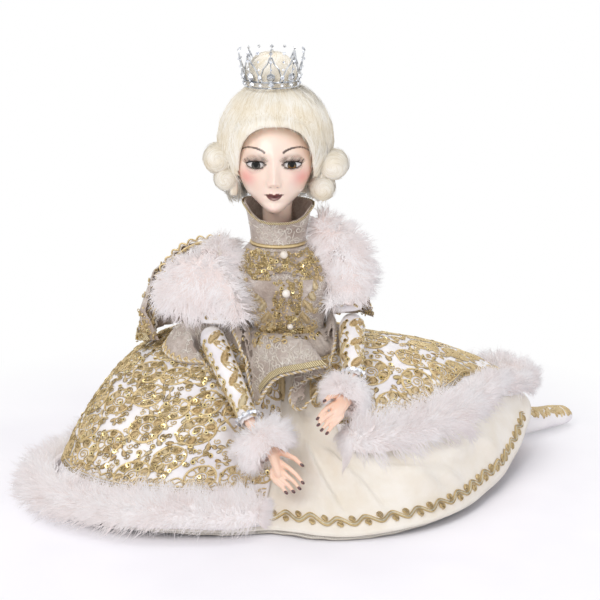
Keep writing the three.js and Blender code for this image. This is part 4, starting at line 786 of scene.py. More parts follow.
def under_lid(point, depth, out):
    """The heights of points, pressed down under the arms that lie over them."""
    return np.minimum(point[..., 2], under_arms(point[..., 0], point[..., 1]) - depth + out)


def gown_profile(bearing):
    hip, hip_z, hem, rise = (gown_curve(bearing, k) for k in (1, 2, 3, 4))
    foot = 7 + np.maximum(rise, 0)
    r0, z0 = WAIST["radius"], WAIST["z"]
    return r0, z0, 2 * hip - (r0 + hem) / 2, 2 * hip_z - (z0 + foot) / 2, hem, foot


def bent(start, middle, end, t):
    """A curve from start to end, drawn towards its middle."""
    return (1 - t) ** 2 * start + 2 * (1 - t) * t * middle + t ** 2 * end


def gown_reach(bearing):
    """The length of the skirts from waist to hem at a bearing."""
    r0, z0, r1, z1, r2, z2 = gown_profile(np.asarray(bearing, float))
    t = np.linspace(0, 1, 17).reshape((-1,) + (1,) * np.ndim(bearing))
    r, z = bent(r0, r1, r2, t), bent(z0, z1, z2, t)
    return np.hypot(np.diff(r, axis=0), np.diff(z, axis=0)).sum(0)


def gown_point(bearing, share, depth):
    """A point of the skirts; each layer lies its own depth inwards."""
    bearing, share, depth = np.broadcast_arrays(
        np.asarray(bearing, float), np.asarray(share, float), np.asarray(depth, float))
    r0, z0, r1, z1, r2, z2 = gown_profile(bearing)
    r, z = bent(r0, r1, r2, share), bent(z0, z1, z2, share)
    dr = (1 - share) * (r1 - r0) + share * (r2 - r1)
    dz = (1 - share) * (z1 - z0) + share * (z2 - z1)
    length = np.hypot(dr, dz)
    dr, dz = dr / length, dz / length
    full = ease(share, 0.3, 0.8) * (1 - 0.7 * ease(share, 0.75, 1))
    a = np.radians(bearing)
    out = 2.6 * full * np.cos(a * 9 + 1) - depth
    reach = r - dz * out
    x = WAIST["x"] + np.cos(a) * reach
    y = WAIST["y"] + np.sin(a) * reach
    height = np.minimum(z + dr * out, under_arms(x, y) - depth)
    return stack(x, y, np.maximum(height, FLOOR_GAP))


def hem_share(bearing):
    b = np.mod(bearing, 360)
    lifted = ease(b, 280, 300) * 0.42 - ease(b, 300, 360) * 0.12
    rest = 0.3 * (1 - ease(b, 0, 30)) * (b < 180)
    return 0.985 - lifted - rest


def over_bearing(u):
    return FRONT_LEFT + u * OVER_SPAN


def overskirt_skin(u, v, out):
    b = over_bearing(u)
    crinkle = 0.5 * wander(b * 0.35, v * 9) * ease(v, 0.05, 0.3)
    return gown_point(b, mix(SKIRT_TOP, hem_share(b), v), -out - crinkle + 0.5)


def bare_share(bearing):
    """Where the underskirt shows, from 0 under the overskirt to 1 in the opening at the front."""
    b = np.mod(bearing, 360)
    return ease(b, FRONT_RIGHT + 2, FRONT_RIGHT + 12) * ease(b, FRONT_LEFT + 6, FRONT_LEFT - 6)


# Soft folds of the underskirt: from bearing and share to bearing and share, width and height.
FOLDS = [
    [283, 0.50, 288, 0.90, 5.5, 7], [291, 0.52, 302, 0.88, 6, 9], [300, 0.50, 322, 0.86, 7, 11],
    [312, 0.52, 342, 0.80, 6, 9], [332, 0.88, 313, 0.70, 5, 6.5], [334, 0.60, 350, 0.90, 6, 8],
]
DEGREE_WIDE, SKIRT_LONG = 2.8, 180.0


def folds(bearing, share):
    raised = 0.0
    for b0, s0, b1, s1, wide, high in FOLDS:
        way = np.array([(b1 - b0) * DEGREE_WIDE, (s1 - s0) * SKIRT_LONG])
        length = np.hypot(*way)
        x, y = (bearing - b0) * DEGREE_WIDE, (share - s0) * SKIRT_LONG
        t = (x * way[0] + y * way[1]) / length ** 2
        off = (x * way[1] - y * way[0]) / length
        off = off + 2.5 * np.sin(t * 5 + b0)
        raised = raised + high * bell(off, wide) * ease(t, -0.1, 0.3) * ease(t, 1.15, 0.7)
    return raised


def underskirt_skin(u, v, out):
    b = u * 360
    share = mix(SKIRT_TOP, 0.995, v)
    shown = np.maximum(bare_share(b), ease(share, hem_share(b) + 0.06, hem_share(b) + 0.16)) * (
        (np.mod(b, 360) > 250) | (np.mod(b, 360) < 40))
    near_hem = 1 - 0.75 * ease(share, 0.86, 0.98)
    drawn = ease(share, 0.2, 0.45)
    gathers = 3.2 * wander(b * 0.085 + share * 3.0, share * 3.2, 2)
    gathers = gathers + 1.5 * wander(b * 0.21 - share * 5, share * 6, 4)
    rise = gathers + folds(b, share) + 0.8
    rise = np.where(rise > 0.8, rise, 0.8 * np.exp(np.minimum(rise, 0.8) / 0.8 - 1))
    wrinkle = (rise - 0.6) * shown * near_hem * drawn
    point = gown_point(b, share, DEPTH_UNDER - out - wrinkle)
    point[..., 2] = np.maximum(under_lid(point, DEPTH_UNDER, out), FLOOR_GAP)
    return point


def petticoat_skin(u, v, out):
    b = u * 360
    ruck = 0.5 * np.sin(np.radians(b) * 40)
    return gown_point(b, mix(SKIRT_TOP, 0.995, v), DEPTH_PETTICOAT - out + 0.5 - ruck)


def hem_fur_bed(bearing, w, size, rise=1.0):
    """The core of the hem fur: w runs across it from -1 to 1, size is its share of the whole roll."""
    b = np.asarray(bearing, float)
    over_ankle = bell(np.mod(b + 180 - 15, 360) - 180, 28)
    end = np.minimum(b - FRONT_LEFT, FRONT_LEFT + OVER_SPAN - b)
    swell = (1 + 0.07 * np.sin(b * 0.27)) * (1 - 0.35 * over_ankle) * size * mix(0.8, 1, ease(end, -2, 4))
    swell = swell * (1 + 0.22 * ease(b, 296, 306) * ease(b, 352, 330))
    reach = gown_reach(b)
    share = hem_share(b) - 0.02 + w * FUR_HALF_WIDTH * swell / reach
    lift = np.sqrt(np.maximum(0, 1 - w * w)) * FUR_HEIGHT * swell * rise
    return fur_point(b, share, -FUR_LIFT - lift - 1, reach)


def fur_point(bearing, share, depth, reach):
    last = np.minimum(share, 1)
    point = gown_point(bearing, last, depth)
    extra = (share - last) * reach
    a = np.radians(bearing)
    droop = np.where(gown_curve(bearing, 4) > 2, 0, 0.5)
    low = FLOOR_GAP + np.maximum(0, -depth - FUR_LIFT) * 0.8
    height = np.maximum(point[..., 2] - extra * droop, low)
    return stack(point[..., 0] + np.cos(a) * extra, point[..., 1] + np.sin(a) * extra, height)


def skirts():
    return (
        sewn("overskirt_satin", overskirt_skin, 0.7, 260, 42, (620, 165), "satin", "satin", ["overskirt"]),
        sewn("underskirt_cream", underskirt_skin, 0.8, 300, 51, (1100, 190), "cream_cloth", "cream_cloth",
             ["underskirt"], hoop=True),
        sewn("petticoat_net", petticoat_skin, 0.8, 210, 16, (1100, 190), "stiff_net", "stiff_net",
             ["petticoat"], hoop=True),
    )


# Head: the face is a dense skin over the porcelain form, with make-up, painted shade and painted highlights
# held in its attributes.
HEAD = {"y": -3.0, "z": 263.0, "wide": 31.0, "deep": 33.5, "high": 37.0}
NECK = (2.0, -2.0)
LID = {"wide": 7.3, "rise": 2.6, "drop": 2.2}


# Soft rises and hollows of the face: height, place beside the middle, width, level and tallness.
FEATURES = (
    (1.0, 0, 2.4, 4, 8), (1.5, 0, 3.2, -10.9, 2.5), (2.0, 3.8, 1.6, -12.6, 2.0),
    (-1.1, 2.5, 0.9, -14.5, 0.8), (-0.8, 6.3, 1.3, -12.4, 2.6), (-2.0, 13.5, 7.5, 2.6, 5.6),
    (0.9, 14, 8, 11, 3.6), (1.2, 15, 8, -8, 8), (1.2, 0, 6.0, -22, 5.0), (1.25, 0, 4.8, -20.4, 1.1),
    (1.7, 0, 4.1, -23.6, 1.5), (-1.1, 0, 6.6, -21.75, 0.5), (-0.8, 6.9, 1.6, -21.6, 1.6),
    (-0.5, 0, 1.1, -17.3, 2.2), (-1.1, 0, 6, -27.0, 1.9), (7.5, 0, 8.5, -33.0, 6.0),
)
BROW = [(7.4, 12.0), (9.2, 13.2), (13.4, 14.6), (18.4, 15.0), (22.8, 13.7), (26.8, 10.8)]


def lid_edges(x):
    """The upper and lower edge of an eye opening; x runs outwards from its middle."""
    t = np.clip(1 - (x / LID["wide"]) ** 2, 0, 1)
    upper = LID["rise"] * t ** 0.7 + 0.25 * x / LID["wide"]
    lower = -LID["drop"] * t ** 0.8 + 0.35 * x / LID["wide"]
    return upper, lower


def lid_share(x, z):
    """Millimetres inside an eye opening; x runs outwards from its middle and z upwards."""
    upper, lower = lid_edges(x)
    return np.where(np.abs(x) < LID["wide"], np.minimum(upper - z, z - lower), -np.hypot(
        np.abs(x) - LID["wide"], z))


def head_skin(bearing, elevation):
    side = np.sin(bearing) * np.cos(elevation)
    front = np.cos(bearing) * np.cos(elevation)
    height = np.sin(elevation)
    low = np.clip(-height, 0, 1)
    full = np.where(height < 0, (1 - low ** 3) ** (1 / 3) / np.maximum(np.sqrt(1 - low ** 2), 1e-3), 1)
    jaw = 1 - 0.1 * ease(low, 0, 0.5) - 0.17 * ease(low, 0.5, 0.9)
    x = side * HEAD["wide"] * jaw
    z = height * HEAD["high"] - 3.2 * low ** 3
    y = -front * HEAD["deep"] * np.where(front < 0, 1, 1 - 0.04 * ease(height, 0.2, 0.9))
    y = np.where(front > 0, y * mix(1, np.minimum(full, 2.2), ease(front / np.cos(elevation), 0.2, 0.8)), y)
    ax = np.abs(x)
    lift = 4.9 * ease(z, 10, -9.4) ** 1.35 * ease(z, -15.6, -11.0) * bell(x, 3.3)
    for high, beside, wide, level, tall in FEATURES:
        lift = lift + high * bell(ax - beside, wide) * bell(z - level, tall)
    y = y - lift * ease(front, 0.15, 0.6)
    for sign in (-1, 1):
        dx, dz = (x - sign * EYE["x"]) * sign, z - (EYE["z"] - HEAD["z"])
        far = np.hypot(dx, dz)
        ball = EYE["y"] - HEAD["y"] - np.sqrt(np.maximum((EYE["radius"] + 0.75) ** 2 - far ** 2, 0.01))
        hug = np.where(front > 0, ease(far, 8.6, 5.6), 0)
        share = np.clip(0.5 + (y - ball) / 2.4, 0, 1)
        y = np.where((front > 0) & (far < 8.1), mix(y, ball, share) - 1.2 * share * (1 - share), y)
        inside = lid_share(dx, dz)
        rim = 0.35 * bell(inside + 0.5, 0.55) * hug - 0.35 * bell(inside + 2.1, 0.5) * hug * (dz > 0)
        y = np.where(front > 0.2, y - rim + 5.5 * ease(inside, -0.12, 0.35), y)
    return x, y, z, front


def along(points, x, z):
    """(distance to a drawn line, share along it) for each place of the face."""
    line = spline(points, np.linspace(0, 1, 60))
    gap = np.hypot(x[..., None] - line[:, 0], z[..., None] - line[:, 1])
    nearest = gap.argmin(-1)
    return gap.min(-1), nearest / 59


def make_up(x, z, front):
    """Masks from 0 to 1 for lips, brows, blush, eye shadow, dark lines, painted shade and painted
    highlights.
    """
    ax = np.abs(x)
    seen = front > 0.1
    t = np.clip(1 - (ax / 7.2) ** 2, 0, 1)
    smile = 0.9 * (ax / 7.2) ** 2
    upper = -21.6 + smile + 2.1 * t ** 0.9 - 0.8 * bell(x, 1.1) + 0.35 * bell(ax - 2.4, 1.4)
    lower = -21.8 + smile - 3.4 * np.clip(1 - (ax / 6.3) ** 2, 0, 1) ** 0.75
    lips = ease(np.minimum(upper - z, z - lower), -0.15, 0.2) * (ax < 7.2)
    gap, share = along(BROW, ax, z)
    brow = ease(gap, 1.2 - 0.75 * share, 0.7 - 0.55 * share) * mix(0.85, 1.0, bell(share - 0.4, 0.4))
    blush = bell(ax - 21.5, 6.8) * bell(z + 8.5, 6.5) + 0.25 * bell(x, 5) * bell(z + 33, 4)
    dx, dz = ax - EYE["x"], z - (EYE["z"] - HEAD["z"])
    inside = lid_share(dx, dz)
    lid = ease(inside, 0.4, -0.3) * bell(dx - 1.2, 7.6) * bell(dz - 3.9, 3.2) * ease(dz, -0.6, 1.2)
    fold = 0.75 * bell(dz - 6.3 + 0.04 * dx ** 2, 1.1) * bell(dx - 0.5, 6)
    liner = bell(inside + 0.35, 0.75) * np.where(dz > 0, 1.0, 0.35) * (np.abs(dx) < 8)
    wing, _ = along([(5.4, 1.6), (7.2, 1.5), (9.0, 2.6)], dx, dz)
    liner = np.maximum(liner, 0.9 * ease(wing, 0.75, 0.2))
    seam = 0.9 * bell(z + 21.8 - smile + 0.25 * bell(x, 2.2), 0.3) * ease(ax, 8.0, 7.0)
    # Dark nostrils, and painted shade in the creases beside the wings of the nose.
    nostrils_and_painted_shade = 0.6 * bell(ax - 2.7, 1.0) * bell(z + 14.5, 0.45)
    nostrils_and_painted_shade = nostrils_and_painted_shade + 0.12 * bell(ax - 5.4, 0.7) * bell(z + 12.6, 1.8)
    # Painted highlights: a pale patch on the forehead, a line down the nose, a spot on its tip and one on
    # the middle of the lower lip.
    painted_highlight = 0.25 * bell(x, 9) * bell(z - 20, 7) + 0.08 * bell(x, 1.8) * bell(z + 3, 8)
    painted_highlight = painted_highlight + 0.5 * bell(x, 1.3) * bell(z + 10.6, 1.2) + 0.42 * bell(x, 2.6) * bell(z + 23.6, 0.6)
    # Painted shade beside the nose and in the hollow under the lower lip.
    painted_shade = 0.2 * bell(ax - 4.6, 1.7) * ease(z, -13, -8) * ease(z, 7, 2)
    painted_shade = painted_shade + 0.2 * bell(x, 5) * bell(z + 26.6, 0.9)
    # The masks: lips, brows with liner, blush, eye shadow with painted shade, lip line and nostrils with
    # painted shade, painted highlights.
    masks = [lips, np.clip(np.maximum(brow, liner), 0, 1), 0.62 * np.clip(blush, 0, 1),
             0.52 * np.clip(lid + fold + painted_shade, 0, 1), np.clip(seam + nostrils_and_painted_shade, 0, 1), np.clip(painted_highlight, 0, 1)]
    return [np.where(seen, mask, 0) for mask in masks]


def porcelain_head():
    columns, rows = 184, 172
    turn = np.arange(columns) / columns * 2 * np.pi - np.pi
    bearing, elevation = np.meshgrid(turn - 0.6 * np.sin(turn), (np.arange(1, rows) / rows - 0.5) * np.pi)
    x, y, z, front = head_skin(bearing, elevation)
    points = stack(x + FACE_X, y + HEAD["y"], z + HEAD["z"]).reshape(-1, 3)
    masks = [m.ravel() for m in make_up(x, z, front)]
    at = lambda a, b: a * columns + b % columns
    quads = quads_of(at, *grid(rows - 2, columns))
    poles = np.array([[FACE_X, HEAD["y"], HEAD["z"] + s * HEAD["high"]] for s in (-1, 1)])
    low, high = len(points), len(points) + 1
    k = np.arange(columns)
    caps = np.concatenate([stack(np.full(columns, low), (k + 1) % columns, k),
                           stack(np.full(columns, high), at(rows - 2, k), at(rows - 2, k + 1))])
    heap = Heap()
    heap.add(np.vstack([points, poles]), [quads, caps.astype(int)])
    profile = np.array([
        [7, 211.5], [10, 211.5], [11.4, 213], [11.5, 226], [12.6, 236], [12, 244], [0.1, 246],
    ])
    sides = 48
    round_it = np.arange(sides) / sides * 2 * np.pi
    neck = stack(NECK[0] + profile[:, :1] * np.cos(round_it), NECK[1] + profile[:, :1] * np.sin(round_it),
                 profile[:, 1:] + 0 * round_it)
    ring = lambda a, b: a * sides + b % sides
    heap.add(neck, [quads_of(ring, *grid(len(profile) - 1, sides)), np.arange(sides)[None, ::-1],
                    np.arange(sides)[None] + sides * (len(profile) - 1)])
    piece = heap.mesh("porcelain_head", [LOOKS["face"]])
    # The shade attribute holds eye shadow with painted shade, the lip line and nostrils with painted shade,
    # and painted highlights.
    for name, layers in (("paint", masks[:3]), ("shade", masks[3:])):
        data = np.zeros((heap.count, 4), np.float32)
        data[:len(points), :3] = np.stack(layers, 1)
        data[:, 3] = 1
        piece.data.attributes.new(name, "FLOAT_COLOR", "POINT").data.foreach_set("color", data.ravel())
    return settle(piece, "head", ["head"])


def eyes_and_lashes():
    for side, sign in SIDES:
        centre = np.array([FACE_X + sign * EYE["x"], EYE["y"], EYE["z"]])
        bpy.ops.mesh.primitive_uv_sphere_add(segments=48, ring_count=32, radius=EYE["radius"] * MM,
                                             location=centre * MM, rotation=(math.pi / 2, 0, 0))
        ball = bpy.context.object
        ball.name = ball.data.name = "glass_eye_" + side
        bpy.ops.object.transform_apply(location=True, rotation=True, scale=True)
        points, _ = triangles_of(ball)
        off = np.hypot(points[:, 0] - centre[0], points[:, 2] - centre[2])
        points[:, 1] -= np.where(points[:, 1] < centre[1], 0.45 * ease(off, 4.6, 2.5), 0)
        ball.data.vertices.foreach_set("co", (points * MM).ravel())
        ball.data.polygons.foreach_set("use_smooth", [True] * len(ball.data.polygons))
        ball.data.materials.append(LOOKS["eye_" + side])
        settle(ball, "head", ["eye_" + side])

        heap = Heap()
        u = np.linspace(-1, 1, 34)
        x = u * 6.7
        upper, lower = lid_edges(x)
        for edge, length, rise in ((upper, 5.4, 1.0), (lower, 1.6, -1.0)):
            depth = np.sqrt((EYE["radius"] + 0.9) ** 2 - np.minimum(x ** 2 + edge ** 2, 50))
            root = stack(centre[0] + sign * x, centre[1] - depth, centre[2] + edge)
            fan = stack(sign * (0.75 * u + 0.25), -0.75 + 0 * u, rise * (0.55 + 0.2 * np.cos(u * 9)))
            s = np.linspace(0, 1, 5)[None, :, None]
            curl = np.array([0, 0, 1.0]) * rise * 0.9
            line = root[:, None] + unit(fan)[:, None] * s * length + curl * s ** 2 * length * 0.35
            round_cords(heap, line, 0.22 * (1 - 0.8 * s[..., 0]), sides=3)
        finished(heap, "lashes_" + side, "lash", "head", "lash", ["lash_" + side])


# Hair
CAP = {"x": 1.0, "y": 4, "z": 278, "wide": 43.5, "deep": 43, "high": 46}
CAP_MIDDLE = (CAP["x"], CAP["y"], CAP["z"] - 8)
CURLS = {
    "right_upper": (-43.5, -5, 266, 10.4, 27), "right_lower": (-37.5, -6, 250.5, 8.2, 22),
    "left_upper": (45.9, -5, 261, 10.6, 27), "left_lower": (37.4, -6, 243, 8.6, 22),
}


def strands(heap, line, thick, rng):
    """Fine tapered hairs along lines of points."""
    steps = line.shape[1]
    s = np.linspace(0, 1, steps)
    radius = thick * np.sin(np.pi * (0.06 + 0.9 * s)) ** 0.6
    round_cords(heap, line, radius[None] * rng.uniform(0.7, 1.25, (len(line), 1)), sides=3,
                tone=rng.uniform(0.0, 1.0, len(line)))


def hair(heap, name, middle):
    """The strands of one form of the wig, lit as a whole that swells from its middle."""
    airy(finished(heap, "hair_" + name, "hair", "head", "hair", swell_from=middle))


def cap_point(bearing, elevation, out):
    groove = 0.7 * np.cos(23 * bearing + 1.5 * np.sin(3 * bearing)) + 0.5 * np.cos(41 * bearing + elevation)
    wave = 1 + 0.02 * np.cos(9 * bearing) * np.cos(elevation) * ease(elevation, -0.2, 0.3)
    reach = np.cos(elevation) * wave
    return stack(
        CAP["x"] + np.sin(bearing) * reach * (CAP["wide"] + out + groove * 0.6),
        CAP["y"] - np.cos(bearing) * reach * (CAP["deep"] + out + groove * 0.6),
        CAP["z"] + np.sin(elevation) * (CAP["high"] + out),
    )


def on_face(point):
    """True where a place lies before the face, inside the hairline."""
    x = np.abs(point[..., 0] - FACE_X)
    line = 262 + 31 * np.sqrt(np.clip(1 - (x / 28) ** 2, 0, 1)) ** 0.9
    return (x < 28) & (point[..., 1] < -6) & (point[..., 2] < line)


def wig_cap():
    rng = np.random.default_rng(11)
    soft("wig_cap", "hair_cap", "head", "hair_bed", 1.9, 12)
    heap = Heap()
    for count, lift, sway in ((2050, 0.4, 0.05), (1050, 1.4, 0.12)):
        bearing = rng.uniform(-np.pi, np.pi, count)
        start = rng.uniform(-0.75, 0.95, count)
        s = np.linspace(0, 1, 5)
        e = start[:, None] + s * rng.uniform(0.35, 0.75, (count, 1))
        b = bearing[:, None] + rng.normal(0, sway, (count, 1)) * s
        b = b + 0.05 * np.sin(e * 7 + bearing[:, None] * 3)
        arch = np.sin(np.pi * s) * rng.uniform(0.2, 1.2, (count, 1)) * lift
        line = cap_point(b, np.minimum(e, 1.3), lift * 0.4 + arch)
        keep = ~on_face(line).any(1) & (line[:, 0, 2] > 240)
        strands(heap, line[keep], 0.29, rng)
    loose = 520
    bearing = rng.uniform(-np.pi, np.pi, loose)
    s = np.linspace(0, 1, 5)
    e = rng.uniform(-0.2, 0.9, loose)[:, None] + s * 0.5
    b = bearing[:, None] + rng.normal(0, 0.2, (loose, 1)) * s ** 2
    line = cap_point(b, np.minimum(e, 1.35), 0.8 + 3.2 * s ** 1.5 * rng.uniform(0.3, 1, (loose, 1)))
    keep = ~on_face(line).any(1)
    strands(heap, line[keep], 0.12, rng)
    hair(heap, "cap_strands", CAP_MIDDLE)


def hairline():
    """Short hairs that roll from the forehead up into the puff above it."""
    rng = np.random.default_rng(12)
    heap = Heap()
    count = 1100
    x = rng.uniform(-30, 30, count)
    top = 262 + 31 * np.sqrt(np.clip(1 - (x / 28.5) ** 2, 0, 1)) ** 0.9
    edge = -3 - 33.5 * np.sqrt(np.clip(1 - (x / 31.5) ** 2 - ((top - 263) / 38) ** 2, 0.02, 1))
    root = stack(x + FACE_X, edge + rng.uniform(0.5, 3, count), top + rng.uniform(-0.6, 0.8, count))
    b = np.arctan2(root[:, 0] - CAP["x"], -(root[:, 1] - CAP["y"]))
    e0 = np.arcsin(np.clip((root[:, 2] - CAP["z"]) / CAP["high"], -1, 1))
    s = np.linspace(0, 1, 6)
    e = e0[:, None] + 0.08 + s * rng.uniform(0.3, 0.6, (count, 1))
    target = cap_point(b[:, None] + 0 * s, e, 0.5)
    share = np.clip(s * 3.2, 0, 1)[None, :, None] ** 0.7
    line = root[:, None] * (1 - share) + target * share
    line[..., 1] -= 1.6 * np.sin(np.pi * np.clip(s * 1.6, 0, 1))
    strands(heap, line, 0.24, rng)
    hair(heap, "front_strands", CAP_MIDDLE)


def bun():
    rng = np.random.default_rng(13)
    soft("wig_bun", "hair_bun", "head", "hair_bed", 1.2, 4)
    heap = Heap()
    count = 1300
    b = rng.uniform(-np.pi, np.pi, (count, 1))
    s = np.linspace(0, 1, 5)
    e = rng.uniform(-0.5, 0.9, (count, 1)) + s * 0.6
    out = 18.6 + 0.3 + np.sin(np.pi * s) * rng.uniform(0, 1.0, (count, 1)) + 0.35 * np.cos(17 * b)
    e = np.minimum(e, 1.45)
    b = b + 0.5 * s
    line = stack(-2 + np.sin(b) * np.cos(e) * out, -np.cos(b) * np.cos(e) * out,
                 328 + np.sin(e) * (out + 0.4))
    strands(heap, line, 0.22, rng)
    hair(heap, "bun_strands", (-2, 0, 328))


def curls():
    rng = np.random.default_rng(14)
    for name, (x, y, z, radius, length) in CURLS.items():
        bpy.ops.mesh.primitive_uv_sphere_add(segments=48, ring_count=28, radius=MM)
        shell = bpy.context.object
        shell.name = shell.data.name = "hair_roll_" + name
        ball, _ = triangles_of(shell)
        fuller = 1 / np.maximum((np.abs(ball) ** 2.6).sum(1, keepdims=True) ** (1 / 2.6), 1e-6)
        wound = 1 + 0.03 * np.cos(ball[:, 1:2] * 17 + 1.2 * np.arctan2(ball[:, 2:], ball[:, :1]))
        formed = ball * fuller * [radius, length / 2, radius] * wound + [x, y, z]
        shell.data.vertices.foreach_set("co", (formed * MM).ravel())
        shell.data.update()
        bpy.ops.object.shade_smooth()
        shell.data.materials.append(LOOKS["hair_bed"])
        settle(shell, "head", ["curl_" + name])
        heap = Heap()
        count = 950
        v = rng.uniform(-1.0, 1.0, (count, 1))
        s = np.linspace(0, 1, 6)
        start = rng.uniform(0, 2 * np.pi, (count, 1))
        a = start + s * rng.uniform(1.2, 2.4, (count, 1))
        v = v + 0.05 * np.sin(start * 3) * s
        v = np.clip(v - 0.12 * s, -1, 1)
        reach = radius * (1 - np.abs(v * 0.995) ** 2.6) ** (1 / 2.6)
        reach = reach + 0.3 + rng.uniform(-0.2, 0.5, (count, 1)) + 0.3 * np.cos(v * 22)
        reach = reach + (rng.random((count, 1)) < 0.22) * 2.4 * rng.random((count, 1)) * s
        depth = y + v * (length / 2 + 0.4)
        line = stack(x + np.cos(a) * reach, depth + 0 * a, z + np.sin(a) * reach)
        inside = np.hypot((line[..., 0] - 1.5) / 31, (line[..., 2] - 263) / 36) < 0.93
        strands(heap, line[~inside.any(1)], 0.19, rng)
        hair(heap, "roll_strands_" + name, (x, y, z))


def back_hair():
    rng = np.random.default_rng(15)
    shell = soft("wig_back", "hair_back", "head", "hair_bed", 1.3, 16)
    points, tris = triangles_of(shell)
    places, normals, _ = scatter(points, tris, 1400, rng)
    outward = normals[:, 1] + np.abs(normals[:, 0]) > 0.2
    places, normals = places[outward], normals[outward]
    s = np.linspace(0, 1, 6)[None, :, None]
    down = unit(np.array([0, 0.1, -1.0]) - normals * (np.array([0, 0.1, -1.0]) @ normals.T)[:, None])
    lift = 0.5 + 0.9 * np.sin(np.pi * s)
    line = places[:, None] + down[:, None] * (s - 0.5) * 16 + normals[:, None] * lift
    line = line + rng.normal(0, 0.5, (len(line), 1, 3)) * s * 2
    line[..., 2] = np.clip(line[..., 2], 228, 262)
    heap = Heap()
    strands(heap, line, 0.26, rng)
    count = 900
    s = np.linspace(0, 1, 6)
    turn = rng.uniform(0.95, 2 * np.pi - 0.95, (count, 1)) + rng.normal(0, 0.05, (count, 1)) * s
    top, foot = rng.uniform(250, 268, (count, 1)), rng.uniform(231, 238, (count, 1))
    tree = tree_over(shell, bpy.data.objects["hair_cap"])
    fall = around(((1, -1, 225), (1, -1, 300)), 36)
    line, up, _ = pressed(tree, fall, stack(turn * 36, mix(top, foot, s) - 225), 7)
    line = line + up * (0.4 + 1.1 * np.sin(np.pi * s))[:, None]
    line[..., 2] -= rng.uniform(0, 5, (len(line), 1)) * s ** 2
    strands(heap, line, 0.26, rng)
    hair(heap, "back_strands", (1, -4, 248))


def crown_stones():
    """Brilliant stones set round the crown, on its band, in its loops and at its points."""
    bpy.ops.mesh.primitive_cone_add(vertices=8, radius1=1.0 * MM, radius2=0.45 * MM, depth=0.7 * MM,
                                    location=(0, 0, 0))
    stone = bpy.context.object
    bpy.ops.object.mode_set(mode="EDIT")
    bpy.ops.mesh.select_all(action="SELECT")
    bpy.ops.mesh.bevel(offset=0.14 * MM, segments=1, affect="EDGES")
    bpy.ops.object.mode_set(mode="OBJECT")
    model = taken(stone)
    heap = Heap()
    rng = np.random.default_rng(5)
    places, ups, sizes = [], [], []
    for k in range(16):
        a = k * np.pi / 8
        flare = 0.17
        rows = [(2.3, 1.45), (8.4, 1.9 if k % 2 else 1.2), (14.5, 1.15), (20.5, 1.0 if k % 2 else 1.5)]
        rows += [(27.2, 1.7)] if k % 2 else [(5.6, 0.8)]
        for height, size in rows:
            if height > 23 and k % 2 == 0:
                continue
            r = 20.8 + height * flare + 1.3
            out = np.array([np.cos(a), np.sin(a), 0.12])
            places.append([-2 + np.cos(a) * r, np.sin(a) * r, 321.7 + height])
            ups.append(out)
            sizes.append(size * rng.uniform(0.9, 1.1))
    copies(heap, model, places, ups, np.array(sizes))
    finished(heap, "crown_stones", "gem", "head", "silver_wire", smooth=False)


# The middle line of each arm: shoulder, elbow, wrist and hand.
ARMS = {
    "right": ((-45, -5, 187), (-49, -27, 126), (-17, -82, 73), (0, -96, 53)),
    "left": ((52, -5, 186), (61, -18, 134), (60, -68, 104), (53, -80, 93)),
}


# Fur: tapered strands drawn together in tufts over a smaller bed.
GATHER, THICK, LOW = 0.55, 0.38, 0.4


def fur_piece(name, body, roots, tips, normals, rng, sag=2.0):
    """Strands drawn to the tufts that one in sixteen of them leads, sagging by their weight."""
    count = len(roots)
    leaders = rng.choice(count, max(count // 16, 1), replace=False)
    tree = KDTree(len(leaders))
    for k, i in enumerate(leaders):
        tree.insert(roots[i], k)
    tree.balance()
    mine = leaders[np.array([tree.find(place)[1] for place in roots])]
    led = tips[mine] + 0.35 * (roots - roots[mine])
    tips = mix(tips, led, GATHER * rng.uniform(0.5, 1.2, (count, 1)))
    way = tips - roots
    bow = unit(np.cross(way, rng.normal(0, 1, (count, 3)))) * np.linalg.norm(way, axis=1)[:, None] * 0.12
    middle = roots + 0.5 * way + bow
    tips = tips - bow * 0.5
    tips[:, 2] -= sag * rng.uniform(0.3, 1.2, count)
    side = unit(np.cross(way, rng.normal(0, 1, (count, 3))))
    over = unit(np.cross(way, side))
    wide = THICK * rng.uniform(0.7, 1.3, (count, 1, 1))
    a = np.arange(3) * 2 * np.pi / 3
    ring = np.cos(a)[:, None] * side[:, None] + np.sin(a)[:, None] * over[:, None]
    points = np.concatenate(
        [roots[:, None] + ring * wide, middle[:, None] + ring * wide * 0.7, tips[:, None]], 1)
    points[..., 2] = np.maximum(points[..., 2], LOW)
    base = (np.arange(count) * 7)[:, None, None]
    quads = base + np.array([[0, 1, 4, 3], [1, 2, 5, 4], [2, 0, 3, 5]])
    ends = base + np.array([[3, 4, 6], [4, 5, 6], [5, 3, 6], [0, 2, 1]])
    # The tone runs from root to tip, painted shade down in the pile, and differs at random from strand to
    # strand.
    shade = np.array([0, 0, 0, 0.6, 0.6, 0.6, 1.0])[None] * rng.uniform(0.55, 1.0, (count, 1))
    heap = Heap()
    heap.add(points, [quads.reshape(-1, 4), ends.reshape(-1, 3)], tone=shade.ravel())
    own = np.concatenate([ring, ring, unit(way)[:, None]], 1)
    shared = unit(normals[:, None] * 0.8 + own * 0.55 + [0, -0.3, 0.45]).reshape(-1, 3)
    piece = heap.mesh(name, [LOOKS["fur"]], normals=shared)
    return airy(settle(piece, body))


def fur_count(full):
    return full


